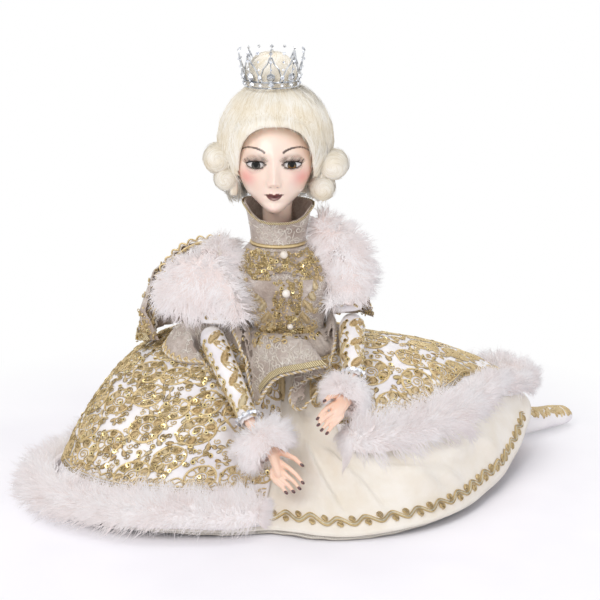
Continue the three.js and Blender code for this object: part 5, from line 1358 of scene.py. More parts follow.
def hem_fur():
    rng = np.random.default_rng(21)
    heap = Heap()
    bearing = lambda u: mix(FRONT_LEFT, FRONT_LEFT + OVER_SPAN, u)
    cloth(heap, lambda u, v: hem_fur_bed(bearing(u), 1.9 * v - 0.95, 0.62),
          lambda u, v: hem_fur_bed(bearing(u), 1.7 * v - 0.85, 0.62, 0.1), 220, 14, (900, 60))
    bed = finished(heap, "hem_fur_bed", "fur_bed", "body", "fur", ["hem_fur"])
    line = np.linspace(0, 1, 400)
    centre = hem_fur_bed(bearing(line), 0 * line, 0.6)
    reach = way_along(centre)
    for k in range(4):
        count = fur_count(6100)
        u = np.interp(rng.uniform(k / 4, (k + 1) / 4, count) * reach[-1], reach, line)
        w = rng.uniform(-1.08, 1.08, count)
        root = hem_fur_bed(bearing(u), np.clip(w, -0.97, 0.97) * 0.9, 0.5)
        spread_to = bearing(u) + rng.normal(0, 1.3, count)
        tall = (1 - 0.12 * bell(np.mod(bearing(u) + 90, 360) - 180, 60)) * rng.uniform(0.85, 1.6, count)
        tall = tall * (1 + 0.13 * wander(u * 90, w * 2.2, 3))
        tip = hem_fur_bed(np.clip(spread_to, FRONT_LEFT - 6, FRONT_LEFT + OVER_SPAN + 6),
                          np.clip(w + rng.normal(0, 0.1, count), -0.99, 0.99), tall)
        tip = tip + rng.normal(0, 1.6, (count, 3)) + unit(tip - root) * 2.5
        if k in (0, 3):
            more = fur_count(1300)
            end, beyond = bearing(float(k == 3)), 3.6 * (1 if k else -1)
            across, tall = rng.uniform(-0.95, 0.95, more), rng.uniform(0.05, 1, more)
            start = hem_fur_bed(np.full(more, end), across * 0.85, 0.6, tall)
            far_end = np.full(more, end + beyond) + rng.normal(0, 1.2, more)
            reach_out = hem_fur_bed(far_end, across, 0.95, tall * 1.05)
            root = np.vstack([root, start])
            tip = np.vstack([tip, reach_out + rng.normal(0, 1.6, (more, 3))])
        fur_piece("hem_fur_%d" % (k + 1), "body", root, tip, unit(tip - root), rng)


def gap_to_line(points, a, b):
    a, b = np.array(a, float), np.array(b, float)
    way = b - a
    t = np.clip((points - a) @ way / (way @ way), 0.3, 1.5)
    return np.linalg.norm(points - a - t[:, None] * way, axis=1)


def fur_over(node, name, body, count, seed, shrink, long, axes, bare, droop, crest=(),
             toward=(0, 0, 0), foot=0.0):
    """Fur standing off the form of a CAD node, kept clear of the arm inside it."""
    rng = np.random.default_rng(seed)
    bed = soft(node, name + "_bed", body, "fur_bed", 1.6, 8, grow=-shrink)
    points, tris = triangles_of(bed)
    normals = np.empty(len(points) * 3)
    bed.data.vertices.foreach_get("normal", normals)
    normals = unit(normals.reshape(-1, 3))
    places, _, pick = scatter(points, tris, fur_count(count), rng)
    out = unit(normals[tris[pick]].mean(1))
    for centre, radius, thick_set in crest:
        more = unit(rng.normal(0, 1, (fur_count(thick_set), 3)) * [1, 1, 0.8] + [0, 0, 0.7])
        places = np.concatenate([places, np.array(centre) + more * radius])
        out = np.concatenate([out, more])
    drift = 0.35 * stack(*(wander(places[:, (k + 1) % 3] * 0.13, places[:, (k + 2) % 3] * 0.13, k)
                           for k in range(3)))
    way = unit(out + drift + np.array([0, -0.1, -droop]) + rng.normal(0, 0.2, (len(places), 3)))
    tips = places + way * rng.uniform(*long, (len(places), 1)) * (1 + 0.4 * (way @ toward)[:, None])
    clear = (np.min([gap_to_line(tips, a, b) for a, b in axes], axis=0) > bare) & (tips[:, 2] > foot)
    fur_piece(name, body, (places - out * 1.5)[clear], tips[clear], out[clear], rng, sag=1.5)


def furs():
    hem_fur()
    right, left = ARMS["right"], ARMS["left"]
    fur_over("shoulder_fur_right", "fur_right", "arm_right", 8700, 31, 6.0, (9, 18),
             [(right[0], right[1])], 13, 0.3, [((-41, -8, 182), 10.5, 1300), (right[0], 11.5, 700)],
             (0.8, -0.4, -0.6), 133)
    fur_over("shoulder_fur_left", "fur_left", "arm_left", 8100, 32, 5.0, (8, 17),
             [(left[0], left[1])], 12, 0.25, [(left[0], 10.5, 1900)], (0, -0.6, 0.2))
    fur_over("cuff_fur_right", "cuff_right", "forearm_right", 7500, 33, 5.0, (8, 17),
             [(right[1], right[2]), (right[2], right[3])], 10, 0.3)
    fur_over("cuff_fur_left", "cuff_left", "forearm_left", 6600, 34, 4.0, (7, 15),
             [(left[1], left[2]), (left[2], left[3])], 8.5, 0.35)


# Trims: cords, leaves, sequins and beads laid on the cloth below them.
def stroke(x, y):
    return stack(x, y)


def coil(turns, inner, outer, points=12, centre=(0, 0), start=0.0):
    t = np.linspace(0, 1, points)
    a = start + t * turns * 2 * np.pi
    r = mix(inner, outer, t)
    return stroke(centre[0] + r * np.cos(a), centre[1] + r * np.sin(a))


def leaf(length, wide, centre=(0, 0), turn=0.0):
    t = np.linspace(0, 1, 12) * 2 * np.pi
    x = 0.5 * length * (1 - np.cos(t))
    y = 0.5 * wide * np.sin(t) * (1.15 - 0.3 * np.cos(t))
    c, s = math.cos(turn), math.sin(turn)
    return stroke(centre[0] + c * x - s * y, centre[1] + s * x + c * y)


ROSETTE = np.array(
    [coil(1.6, 0.8, 4.0), coil(1.0, 5.2, 5.2)]
    + [leaf(6.4, 5.4, (4.8 * math.cos(a), 4.8 * math.sin(a)), a) for a in np.arange(6) * np.pi / 3]
    + [coil(0.55, 12.2, 11.0, start=a) for a in (0.3, 2.4, 4.5)]
)
SPRAY = np.array([
    stroke(np.linspace(-6, 6, 12), 2.2 * np.sin(np.linspace(-3, 3, 12))),
    coil(1.2, 0.6, 2.6, 12, (5.0, -3.0), 2.0), coil(1.2, 0.6, 2.6, 12, (-5.0, 3.0), 5.0),
])
SCROLL = np.array([
    coil(1.35, 0.5, 3.3, 16, (3.0, 1.6), 1.9), coil(1.35, 0.5, 3.3, 16, (-3.0, -1.6), 5.04),
    coil(0.8, 0.4, 2.0, 16, (0.4, 4.6), 0.5),
    stroke(np.linspace(-5.5, 5.5, 16), 2.6 * np.cos(np.linspace(-2.6, 2.6, 16)) - 3),
])
SPRAY_LEAVES = np.array([leaf(6.5, 3.4, (0.5, 0.8), 1.0), leaf(6.5, 3.4, (-0.5, -0.8), 4.1),
                         leaf(5.0, 2.8, (3.5, 1.4), 0.2)])


def pads(heap, outline, up, height, slot=0, tone=0.5):
    """Closed padded leaves with a raised rib; outlines (leaves, points, 3) begin at the stalk."""
    outline, up = np.asarray(outline, float), np.asarray(up, float)
    count, edge = outline.shape[:2]
    half = (edge - 1) // 2
    a = np.arange(1, half + 1)
    b = edge - a
    rib = 0.5 * (outline[:, a] + outline[:, b]) + up[:, a] * height
    points = np.concatenate([outline + up * height * 0.25, rib], 1)
    r = edge + a - 1
    stalk, tip = [0, a[0], r[0]], [a[-1], b[-1], r[-1]]
    quads = np.concatenate([stack(a[:-1], a[1:], r[1:], r[:-1]), stack(r[:-1], r[1:], b[1:], b[:-1]),
                            stack(a[:-1], b[:-1], b[1:], a[1:])]).astype(int)
    ends = np.array([stalk, [0, r[0], b[0]], tip, [0, b[0], a[0]]])
    normal = np.cross(outline[:, 2] - outline[:, 0], outline[:, half + 1] - outline[:, 0])
    if np.median(np.einsum("ij,ij->i", normal, up[:, 0])) < 0:
        quads, ends = quads[:, ::-1], ends[:, ::-1]
    base = (np.arange(count) * (edge + half))[:, None, None]
    heap.add(points, [(base + quads).reshape(-1, 4), (base + ends).reshape(-1, 3)], slot,
             tone=each(tone, edge + half))


def thrown(surface, gap, tries, rng, keep=None, span=(0.02, 0.98)):
    """Places on a surface no nearer to each other than the gap, in its u and v."""
    spots = stack(rng.random(tries), rng.uniform(*span, tries))
    if keep is not None:
        spots = spots[keep(spots[:, 0], spots[:, 1])]
    points = surface(spots[:, 0], spots[:, 1], 0)
    chosen = []
    held = np.empty((0, 3))
    for k, point in enumerate(points):
        if len(held) == 0 or ((held - point) ** 2).sum(1).min() > gap * gap:
            chosen.append(k)
            held = np.vstack([held, point])
    return spots[chosen]


def sequin():
    bpy.ops.mesh.primitive_cylinder_add(vertices=8, radius=2.0 * MM, depth=0.4 * MM,
                                        location=(0, 0, 0.3 * MM))
    piece = bpy.context.object
    piece.data.materials.append(LOOKS["sequin"])
    piece.data.materials.append(LOOKS["sequin_eye"])
    bpy.ops.object.mode_set(mode="EDIT")
    bpy.ops.mesh.select_all(action="DESELECT")
    bpy.ops.mesh.select_mode(type="FACE")
    bpy.ops.object.mode_set(mode="OBJECT")
    for face in piece.data.polygons:
        face.select = face.normal.z > 0.9
    bpy.ops.object.mode_set(mode="EDIT")
    bpy.ops.mesh.inset(thickness=1.05 * MM, depth=-0.12 * MM)
    piece.active_material_index = 1
    bpy.ops.object.material_slot_assign()
    bpy.ops.object.mode_set(mode="OBJECT")
    bpy.ops.object.transform_apply(location=True)
    return taken(piece, (0, 1))


def bead():
    bpy.ops.mesh.primitive_uv_sphere_add(segments=6, ring_count=4, radius=1.0 * MM,
                                         location=(0, 0, 0.5 * MM))
    piece = bpy.context.object
    bpy.ops.object.transform_apply(location=True)
    return taken(piece)


def purl():
    """A ring of coiled bullion wire."""
    bpy.ops.mesh.primitive_torus_add(major_segments=9, minor_segments=4, major_radius=1.7 * MM,
                                     minor_radius=0.55 * MM, location=(0, 0, 0.4 * MM))
    piece = bpy.context.object
    bpy.ops.object.transform_apply(location=True)
    return taken(piece)


def overskirt_lace():
    rng = np.random.default_rng(41)
    skin = overskirt_skin
    bearing = lambda u: np.mod(over_bearing(u), 360)
    edge = lambda u: 1 - 27 / (gown_reach(bearing(u)) * (hem_share(bearing(u)) - SKIRT_TOP))
    clear = lambda u, v: (v < edge(u) - 0.03) & (v > 0.04)
    flowers = thrown(skin, 23.5, 5200, rng, clear)
    turn = rng.uniform(0, 2 * np.pi, len(flowers))
    scale = rng.uniform(0.85, 1.2, len(flowers))
    heap = Heap()
    line, up = lay(skin, flowers, ROSETTE, 0.3, turn, scale)
    cords(heap, line, up, 1.15, 0.75, tone=rng.uniform(0.1, 0.9, len(line)))
    finished(heap, "lace_rosettes", "gold_cord", "body", "satin")

    heap = Heap()
    line, up = lay(skin, flowers, ROSETTE[2:8], 0.25, turn, scale * 0.97)
    fill = np.tile(np.arange(6) < 5, len(flowers))
    pads(heap, line[fill][:, :-1], up[fill][:, :-1], 0.4, tone=rng.uniform(0, 0.8, fill.sum()))

    away = skin(flowers[:, 0], flowers[:, 1], 0)
    far = lambda u, v: np.array([((away - p) ** 2).sum(1).min() > 12.5 ** 2
                                 for p in skin(u, v, 0)]) & clear(u, v)
    sprays = thrown(skin, 12.5, 4200, rng, far)
    turn = rng.uniform(0, 2 * np.pi, len(sprays))
    scale = rng.uniform(0.8, 1.15, len(sprays))
    line, up = lay(skin, sprays, SPRAY_LEAVES, 0.25, turn, scale)
    brown = np.repeat(np.mod(bearing(sprays[:, 0]) - 300, 360) < 60, len(SPRAY_LEAVES))
    brown = brown & (rng.random(len(line)) < 0.7)
    for group, slot in ((~brown, 0), (brown, 1)):
        if group.any():
            pads(heap, line[group][:, :-1], up[group][:, :-1], 0.4, slot=slot,
                 tone=rng.uniform(0, 1, group.sum()))
    finished(heap, "lace_leaves", "lace_fill old_gold", "body", "satin")
    heap = Heap()
    line, up = lay(skin, sprays, SPRAY, 0.3, turn, scale)
    cords(heap, line, up, 0.95, 0.65, tone=rng.uniform(0.1, 0.9, len(line)))
    beside = lambda u, v: clear(u, v) & (np.abs(bearing(u) - 196) < 36)
    dense = thrown(skin, 8.0, 2400, rng, beside)
    line, up = lay(skin, dense, SPRAY[1:], 0.9, rng.uniform(0, 6.28, len(dense)))
    cords(heap, line, up, 1.0, 0.7, slot=1, tone=rng.uniform(0, 0.6, len(line)))
    finished(heap, "lace_sprays", "gold_cord old_gold", "body", "satin")

    heap = Heap()
    model = sequin()
    spots = np.vstack([thrown(skin, 13.0, 3000, rng, clear), thrown(skin, 7.5, 1300, rng, beside)])
    here, up, _, _ = surface_frame(skin, spots[:, 0], spots[:, 1], 0.7)
    up = unit(up + rng.normal(0, 0.16, up.shape))
    copies(heap, model, here, up, rng.uniform(0.8, 1.1, len(here)))
    finished(heap, "lace_sequins", "sequin sequin_eye", "body", "satin", smooth=False)

    heap = Heap()
    steps = 1100
    u = np.linspace(0.004, 0.996, steps)
    far_along = way_along(skin(u, edge(u), 0))
    size = gown_reach(bearing(u)) * (hem_share(bearing(u)) - SKIRT_TOP)
    for offset, rise, period, wide, slot in (
        (0, 0, 14, 1.6, 0), (-2.4, 3.6, 14, 1.4, 0), (2.2, 0, 14, 1.2, 1),
        (-1.2, 2.4, 7, 1.0, 0), (4.6, 1.0, 5, 1.3, 1),
    ):
        scallop = offset - rise * np.abs(np.sin(np.pi * far_along / period))
        v = edge(u) + scallop / size
        here, up, _, _ = surface_frame(skin, u, v, 0.5)
        cords(heap, here[None], up[None], wide, 0.9, slot=slot, tone=0.4)
    finished(heap, "lace_edge", "gold_cord old_gold", "body", "satin")


def gimp():
    """Three waving cords with a gold rosette in each bay, along the hem of the underskirt."""
    rng = np.random.default_rng(43)
    skin = underskirt_skin
    b = np.linspace(261, 375, 1300)
    u, size = b / 360, gown_reach(b)
    middle = lambda k: 1 - (12 + k) / (gown_reach(b) * 0.945)
    here = skin(u, middle(0), 0)
    far = way_along(here)
    heap = Heap()
    for shift, wide, slot in ((-1.3, 1.0, 1), (0.0, 1.3, 0), (1.3, 1.0, 1)):
        wave = 2.8 * np.sin(2 * np.pi * far / 21) + shift
        here, up, _, _ = surface_frame(skin, u, middle(0) + wave / (size * 0.945), 0.5)
        cords(heap, here[None], up[None], wide, 1.5, slot=slot, tone=0.2)
    bays = np.arange(5.25, far[-1] - 4, 10.5)
    aside = np.where(np.arange(len(bays)) % 2 == 0, -2.2, 2.2)
    centres = stack(np.interp(bays, far, u), np.interp(bays, far, middle(0)))
    centres[:, 1] += aside / np.interp(bays, far, size * 0.945)
    knots = np.array([coil(2.3, 0.3, 2.9, 22)])
    line, up = lay(skin, centres, knots, 0.4)
    cords(heap, line, up, 0.75, 1.5, slot=1, tone=rng.uniform(0, 0.4, len(line)))
    finished(heap, "gimp_trim", "gimp_cord gold_cord", "body", "braid", ["hem_braid"])


# Soft pieces that keep the form of their CAD node
COLLAR_FOOT = {"axis": ((3, -3, 189), (3, -3, 220)), "radius": 26}
HEADING_TOP = 129


CAST_REACH = 260.0


def cast(tree, origins, ways):
    """Where rays meet a form, the direction towards their origins there, and which rays meet it."""
    found = [tree.ray_cast(o, w, CAST_REACH) for o, w in zip(origins.tolist(), ways.tolist())]
    hit = np.array([f[0] is not None for f in found])
    points = np.array([f[0] if f[0] is not None else (0, 0, 0) for f in found], float)
    normals = np.array([f[1] if f[0] is not None else (0, 0, 1) for f in found], float)
    facing = np.sign(-np.einsum("ij,ij->i", normals, ways))
    return points, normals * np.where(facing == 0, 1, facing)[:, None], hit


def tree_over(*pieces):
    points, tris = joined(pieces)
    return BVHTree.FromPolygons(points.tolist(), tris.tolist())


def along_y(way):
    """Throws strokes drawn in x and z at the doll, from in front (1) or from behind (-1)."""
    def rays(strokes):
        origins = stack(strokes[..., 0], -250 * way + 0 * strokes[..., 0], strokes[..., 1])
        return origins, np.broadcast_to([0.0, way, 0.0], origins.shape)
    return rays


from_front, from_behind = along_y(1.0), along_y(-1.0)


def around(axis, radius):
    """Strokes drawn round and along a limb, thrown at it from outside."""
    a, b = np.array(axis[0], float), np.array(axis[1], float)
    along = unit(b - a)
    front = unit(np.array([0.0, -1.0, 0.0]) - along * -along[1])
    side = np.cross(along, front)

    def rays(strokes):
        turn = strokes[..., 0] / radius
        out = np.cos(turn)[..., None] * front + np.sin(turn)[..., None] * side
        return a + strokes[..., 1:2] * along + out * 60, -out
    return rays


def pressed(tree, rays, strokes, flat=1.2):
    """Strokes laid where their rays meet the cloth, without those that fall off it or over a fold."""
    origins, ways = rays(strokes)
    points, normals, hit = cast(tree, origins.reshape(-1, 3), np.array(ways).reshape(-1, 3))
    points, normals = points.reshape(strokes.shape[:2] + (3,)), normals.reshape(strokes.shape[:2] + (3,))
    span = np.linalg.norm(np.diff(strokes, axis=1), axis=2)
    jump = np.linalg.norm(np.diff(points, axis=1), axis=2)
    whole = hit.reshape(strokes.shape[:2]).all(1) & (jump < flat + 2.2 * span).all(1)
    return points[whole], normals[whole], whole


def placed(shapes, centres, turn, scale):
    """Copies of drawn strokes about centres, in the same plane."""
    x, y = turned(shapes, turn, scale)
    made = stack(x + centres[:, 0, None, None], y + centres[:, 1, None, None])
    return made.reshape((-1,) + shapes.shape[1:])


def strewn(shapes, centres, low, high, rng):
    """Copies of drawn strokes about centres, turned and sized at random."""
    count = len(centres)
    return placed(shapes, centres, rng.uniform(0, 6.28, count), rng.uniform(low, high, count))


def field(low, high, gap, rng):
    """Centres on a jittered honeycomb over a box of the plane."""
    rows = np.arange(low[1], high[1], gap * 0.87)
    spots = [(x + (k % 2) * gap / 2, y) for k, y in enumerate(rows) for x in np.arange(low[0], high[0], gap)]
    return np.array(spots) + rng.normal(0, gap * 0.07, (len(spots), 2))


def heaped(name, sources, body, counts, rng, sizes=1.0, facing=-0.1, middle=None):
    """Bullion, beads and sequins heaped over pieces, on the side that shows."""
    points, tris = joined(sources)
    cross = np.cross(points[tris[:, 1]] - points[tris[:, 0]], points[tris[:, 2]] - points[tris[:, 0]])
    tris = tris[unit(cross)[:, 1] < facing]
    if middle:
        tris = tris[np.abs(points[tris].mean(1)[:, 0] - middle[0]) < middle[1]]
    heap = Heap()
    models = [(sequin(), 0), (bead(), 2), (purl(), 3)]
    for (model, slot), number in zip(models, counts):
        places, ups, _ = scatter(points, tris, number, rng)
        ups = unit(ups + rng.normal(0, 0.35, ups.shape))
        lifted = places + ups * rng.uniform(0, 1.1, (number, 1))
        shifted = (model[0], [(key + slot, faces) for key, faces in model[1]])
        copies(heap, shifted, lifted, ups, rng.uniform(0.6, 1.05, number) * sizes,
               turn=rng.uniform(0, 6.28, number), tone=rng.uniform(0.1, 0.9, number))
    finished(heap, name, "sequin sequin_eye gold_cord old_gold", body, "gold_lace", smooth=False)


def waist_heading(bodice):
    """The gathered heading of the skirts, from the bodice out over their top edge."""
    b = np.linspace(0, 360, 97)[:-1]
    a = np.radians(b)
    away = stack(np.cos(a), np.sin(a), 0 * a)
    origins = stack(WAIST["x"], WAIST["y"], HEADING_TOP) + away * 60
    seat, _, hit = cast(tree_over(bodice), origins, -away)
    near = np.where(hit, np.hypot(seat[:, 0] - WAIST["x"], seat[:, 1] - WAIST["y"]), WAIST["radius"] - 4)

    def skin(u, v, out):
        bearing = np.mod(u, 1) * 360
        low = gown_point(bearing, SKIRT_TOP + 0.035, -1.0 - out)
        reach = np.interp(bearing, b, near, period=360) + 0.3 + out
        turn = np.radians(bearing)
        high = stack(WAIST["x"] + np.cos(turn) * reach, WAIST["y"] + np.sin(turn) * reach,
                     HEADING_TOP + 0 * reach)
        point = mix(high, low, v[..., None])
        point[..., 2] += (0.6 * np.sin(turn * 46) + 1.6) * np.sin(np.pi * v)
        return point
    return sewn("skirt_heading", skin, 0.7, 330, 6, (185, 11), "brocade", "brocade", hoop=True)


def bodice_and_collar():
    rng = np.random.default_rng(51)
    bodice = soft("bodice", "brocade_bodice", "body", "brocade", 1.4, 3)
    collar = soft("collar", "standing_collar", "body", "brocade", 1.05, 2)
    soft("collar_braid", "collar_edge", "body", "braid", 0.5, 2)
    yoke = soft("yoke_lace", "yoke_ground", "body", "brocade", 0.85, 2)
    front = soft("front_lace", "front_ground", "body", "brocade", 0.85, 2)
    heaped("yoke_bullion", [yoke], "body", (40, 170, 170), rng, 0.85, middle=(5, 32))
    heaped("front_bullion", [front], "body", (22, 110, 110), rng, 0.85, middle=(10, 11))
    tree = tree_over(bodice, collar)
    centres = field((-33, 122), (43, 232), 10.5, rng)
    drawn = strewn(SCROLL, centres, 0.7, 1.0, rng)
    heap = Heap()
    for rays in (from_front, from_behind):
        line, up, _ = pressed(tree, rays, drawn)
        cords(heap, line, up, 0.85, 0.5, slot=0, tone=rng.uniform(0.2, 1, len(line)))
    finished(heap, "bodice_scrolls", "embroidery", "body", "brocade")
    heap = Heap()
    foot = stroke(np.linspace(-np.pi, np.pi, 150) * COLLAR_FOOT["radius"], 10.2 + 0 * np.linspace(0, 1, 150))
    neck = around(COLLAR_FOOT["axis"], COLLAR_FOOT["radius"])
    line, up, _ = pressed(tree_over(collar, bodice), neck, foot[None], 9)
    if len(line):
        cords(heap, line, up, 3.4, 1.5, slot=0, tone=0.4)
    z = np.linspace(196, 124, 40)
    for k in (-1, 1):
        for offset in (15, 18.5, 22):
            x = 8.5 + k * (offset - 7 * ease(z, 190, 130) + 1.2 * np.sin(z * 0.7 + offset))
            line, up, _ = pressed(tree, from_front, stroke(x, z)[None], 4)
            if len(line):
                cords(heap, line, up, 1.5, 1.0, slot=0, tone=0.4)
    side = field((-26, 124), (40, 196), 7.5, rng)
    side = side[(np.abs(side[:, 0] - 8.5) > 13) & (rng.random(len(side)) < 0.5)]
    drawn = strewn(SPRAY_LEAVES[:2], side, 0.6, 0.9, rng)
    line, up, _ = pressed(tree, from_front, drawn)
    half = rng.random(len(line)) < 0.4
    pads(heap, line[half][:, :-1], up[half][:, :-1], 0.4, slot=1, tone=rng.uniform(0, 1, half.sum()))
    cords(heap, line, up, 0.8, 0.6, slot=0, tone=0.4)
    path = spline([(29, 197), (27.5, 187), (26, 175), (23, 160), (19, 144), (15, 130)], np.linspace(0, 1, 9))
    for mirror in (1, -1):
        spots = stack(8.5 + mirror * (path[:, 0] - 8.5), path[:, 1])
        for lean in (-0.5, 0.55):
            big = placed(np.array([leaf(13, 4.4)]), spots, np.full(9, -1.57 + mirror * lean), 1.0)
            line, up, _ = pressed(tree, from_front, big, 3)
            if len(line):
                pads(heap, line[:, :-1], up[:, :-1], 1.0, slot=1, tone=rng.uniform(0.2, 1, len(line)))
                cords(heap, line, up, 0.9, 0.8, slot=0, tone=0.4)
    finished(heap, "bodice_gold_lines", "gold_cord lace_fill", "body", "gold_lace")
    for k, node_name in enumerate(("pearl_1", "pearl_2", "pearl_3")):
        low, high = (np.array(corner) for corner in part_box(node_name))
        bpy.ops.mesh.primitive_uv_sphere_add(segments=32, ring_count=20, radius=(high - low).max() / 2,
                                             location=(low + high) / 2)
        pearl = bpy.context.object
        pearl.name = pearl.data.name = "pearl_bead_%d" % (k + 1)
        bpy.ops.object.transform_apply(location=True, rotation=True, scale=True)
        bpy.ops.object.shade_smooth()
        pearl.data.materials.append(LOOKS["pearl"])
        settle(pearl, "body", [node_name])
    return bodice, collar


PEPLUM_HEM = [
    [-32, 8, 132], [-34, -14, 131], [-25, -38, 117], [-14, -58, 80], [-7, -61, 93], [3, -63, 105],
    [25, -64, 111], [41, -57, 112], [40, -49, 105], [23, -47, 98], [11, -50, 88], [17, -58, 76],
    [34, -57, 90], [46, -38, 118], [48, -12, 132], [46, 10, 133],
]


def twisted(heap, line, apart, radius, pitch):
    """Two cords twisted round each other along a line."""
    far = way_along(line)
    along = unit(np.gradient(line, axis=0))
    side = unit(np.cross(along, [0.1, 0.2, 1.0]))
    over = np.cross(along, side)
    turn = (2 * np.pi * far / pitch)[:, None]
    for slot in (0, 1):
        angle = turn + slot * np.pi
        strand = line + apart * (np.cos(angle) * side + np.sin(angle) * over)
        round_cords(heap, strand[None], radius, 5, slot=slot, tone=0.4)


def peplum(bodice):
    rng = np.random.default_rng(52)
    flap = soft("peplum", "peplum_flare", "body", "brocade", 1.0, 3)
    soft("peplum_braid", "peplum_edge", "body", "braid", 0.5, 2)
    tree = tree_over(flap)
    centres = field((-34, 76), (50, 140), 9.0, rng)
    drawn = strewn(SCROLL, centres, 0.85, 1.1, rng)
    heap = Heap()
    line, up, _ = pressed(tree, from_front, drawn)
    cords(heap, line, up, 1.0, 0.6, tone=rng.uniform(0.4, 1, len(line)))
    finished(heap, "peplum_scrolls", "embroidery", "body", "brocade")
    rim = spline(PEPLUM_HEM, np.linspace(0.01, 0.99, 560))
    snapped = np.array([tree.find_nearest(spot)[0] for spot in rim.tolist()])
    hem = 0.5 * (snapped + np.roll(snapped, 1, 0))[2:]
    heap = Heap()
    twisted(heap, hem, 0.75, 0.85, 5.0)
    finished(heap, "peplum_hem_cord", "gold_cord embroidery", "body", "braid")

    heap = Heap()
    tree = tree_over(flap, bodice)
    model, gem_model = purl(), sequin()
    turn = rng.uniform(-2.6, 2.6, 260)
    origins = stack(6 + 70 * np.sin(turn), -8 - 70 * np.cos(turn), 130 + rng.normal(0, 3.2, 260))
    line, up, hit = cast(tree, origins, unit(stack(-np.sin(turn), np.cos(turn), 0 * turn)))
    hit &= np.hypot(line[:, 0] - 6, line[:, 1] + 8) < 37
    copies(heap, model, line[hit][:150], unit(up + rng.normal(0, 0.3, up.shape))[hit][:150],
           rng.uniform(0.8, 1.2, hit.sum())[:150])
    shifted = (gem_model[0], [(key + 2, faces) for key, faces in gem_model[1]])
    copies(heap, shifted, line[hit][150:] + up[hit][150:] * 0.8, up[hit][150:], 0.85)
    finished(heap, "waist_garland", "gold_cord old_gold sequin sequin_eye", "body", "gold_lace")
    return flap


# The outer side of the hanging sleeve, where its frilled lace edge stands out
FRILL = [[-40, 12, 196], [-50, 13, 196], [-63, 14, 194], [-78, 15, 185], [-90, 15, 169], [-96, 14, 150],
         [-99, 13, 135], [-101, 12, 121]]


def frill(heap):
    """Scallops of gold and silver cord, edge to edge, standing out from the side of the sleeve."""
    path = spline(FRILL, np.linspace(0, 1, 420))
    far = way_along(path)
    along = unit(np.gradient(path, axis=0))
    away = unit(np.cross([0.0, 1.0, 0.0], along))
    for inset, rise, pitch, radius, slot in (
        (1.2, 3.4, 7.6, 0.8, 0), (0.2, 2.4, 7.6, 0.65, 2), (-0.6, 0, 7.6, 1.0, 0),
        (-2.6, 1.6, 3.8, 0.7, 0), (-4.8, 1.4, 5.2, 0.75, 2),
    ):
        reach = inset + rise * np.abs(np.sin(np.pi * far / pitch))
        depth = stack(0 * far, -2.8 + 0.9 * np.cos(2 * np.pi * far / 11), 0 * far)
        round_cords(heap, (path + away * reach[:, None] + depth)[None], radius, 5, slot=slot, tone=0.5)


SWAG = {"from": 167, "to": 218, "high": 0.05, "low": 0.3, "puff": 18.0}


def swag_skin(u, v, out):
    """The end of the hanging sleeve, turned forward in a soft swag over the skirt."""
    bearing = mix(SWAG["from"], SWAG["to"], u)
    sag = np.sin(np.pi * (0.12 + 0.72 * u)) ** 0.8
    share = SWAG["high"] + (SWAG["low"] - SWAG["high"]) * v * sag
    crease = 1.3 * np.sin(u * 9 + v * 5) + 0.9 * np.sin(u * 21 - v * 7)
    across, down = np.sin(np.pi * np.clip(u, 0, 1)), np.sin(np.pi * np.clip(v, 0, 1))
    lift = 1.6 + (SWAG["puff"] * mix(1.1, 0.5, u) + crease) * down ** 0.8 * across ** 0.5
    point = gown_point(bearing, share, -lift - out)
    point[..., 2] = under_lid(point, 1.2, out)
    return point


def swag():
    piece = sewn("sleeve_swag", swag_skin, 0.9, 80, 36, (95, 42), "brocade", "brocade")
    heap = Heap()
    u = np.linspace(0.02, 0.98, 200)
    twisted(heap, swag_skin(u, 0 * u + 0.985, 0.6), 0.7, 0.8, 5.0)
    far = u * 95
    round_cords(heap, swag_skin(u, 0.93 + 0.05 * np.abs(np.sin(np.pi * far / 6)), 0.5)[None], 0.6, 5, slot=0)
    rng = np.random.default_rng(57)
    spots = thrown(swag_skin, 7.5, 400, rng, span=(0.15, 0.85))
    line, up = lay(swag_skin, spots, SCROLL, 0.1, rng.uniform(0, 6.28, len(spots)), 0.7)
    cords(heap, line, up, 0.8, 0.5, slot=1, tone=rng.uniform(0.3, 1, len(line)))
    finished(heap, "sleeve_swag_cord", "gold_cord embroidery", "body", "braid")
    return piece


def wings():
    made = []
    rng = np.random.default_rng(53)
    for side in ("right", "left"):
        wing = soft("wing_sleeve_" + side, "hanging_sleeve_" + side, "body", "brocade", 1.25, 4)
        braid = soft("wing_braid_" + side, "hanging_sleeve_edge_" + side, "body", "braid", 0.6, 2)
        edge_at = (-101, 12) if side == "right" else (74, 9)
        heaped("hanging_sleeve_purls_" + side, [wing, braid], "body", (6, 50, 90 if side == "right" else 50),
               rng, 0.9, -0.05, edge_at)
        tree = tree_over(wing)
        low, high = (np.array(c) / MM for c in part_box("wing_sleeve_" + side))
        centres = field((low[0], low[2]), (high[0], high[2]), 7.5, rng)
        drawn = strewn(SPRAY_LEAVES, centres, 0.8, 1.1, rng)
        heap = Heap()
        for rays in (from_front, from_behind):
            line, up, _ = pressed(tree, rays, drawn)
            if len(line):
                cords(heap, line, up, 0.9, 0.6, slot=0, tone=rng.uniform(0.1, 0.9, len(line)))
                pads(heap, line[::2, :-1], up[::2, :-1], 0.6, slot=1, tone=0.4)
        if side == "right":
            frill(heap)
        finished(heap, "hanging_sleeve_lace_" + side, "gold_cord lace_fill embroidery", "body", "gold_lace")
        made.append(wing)
    return made


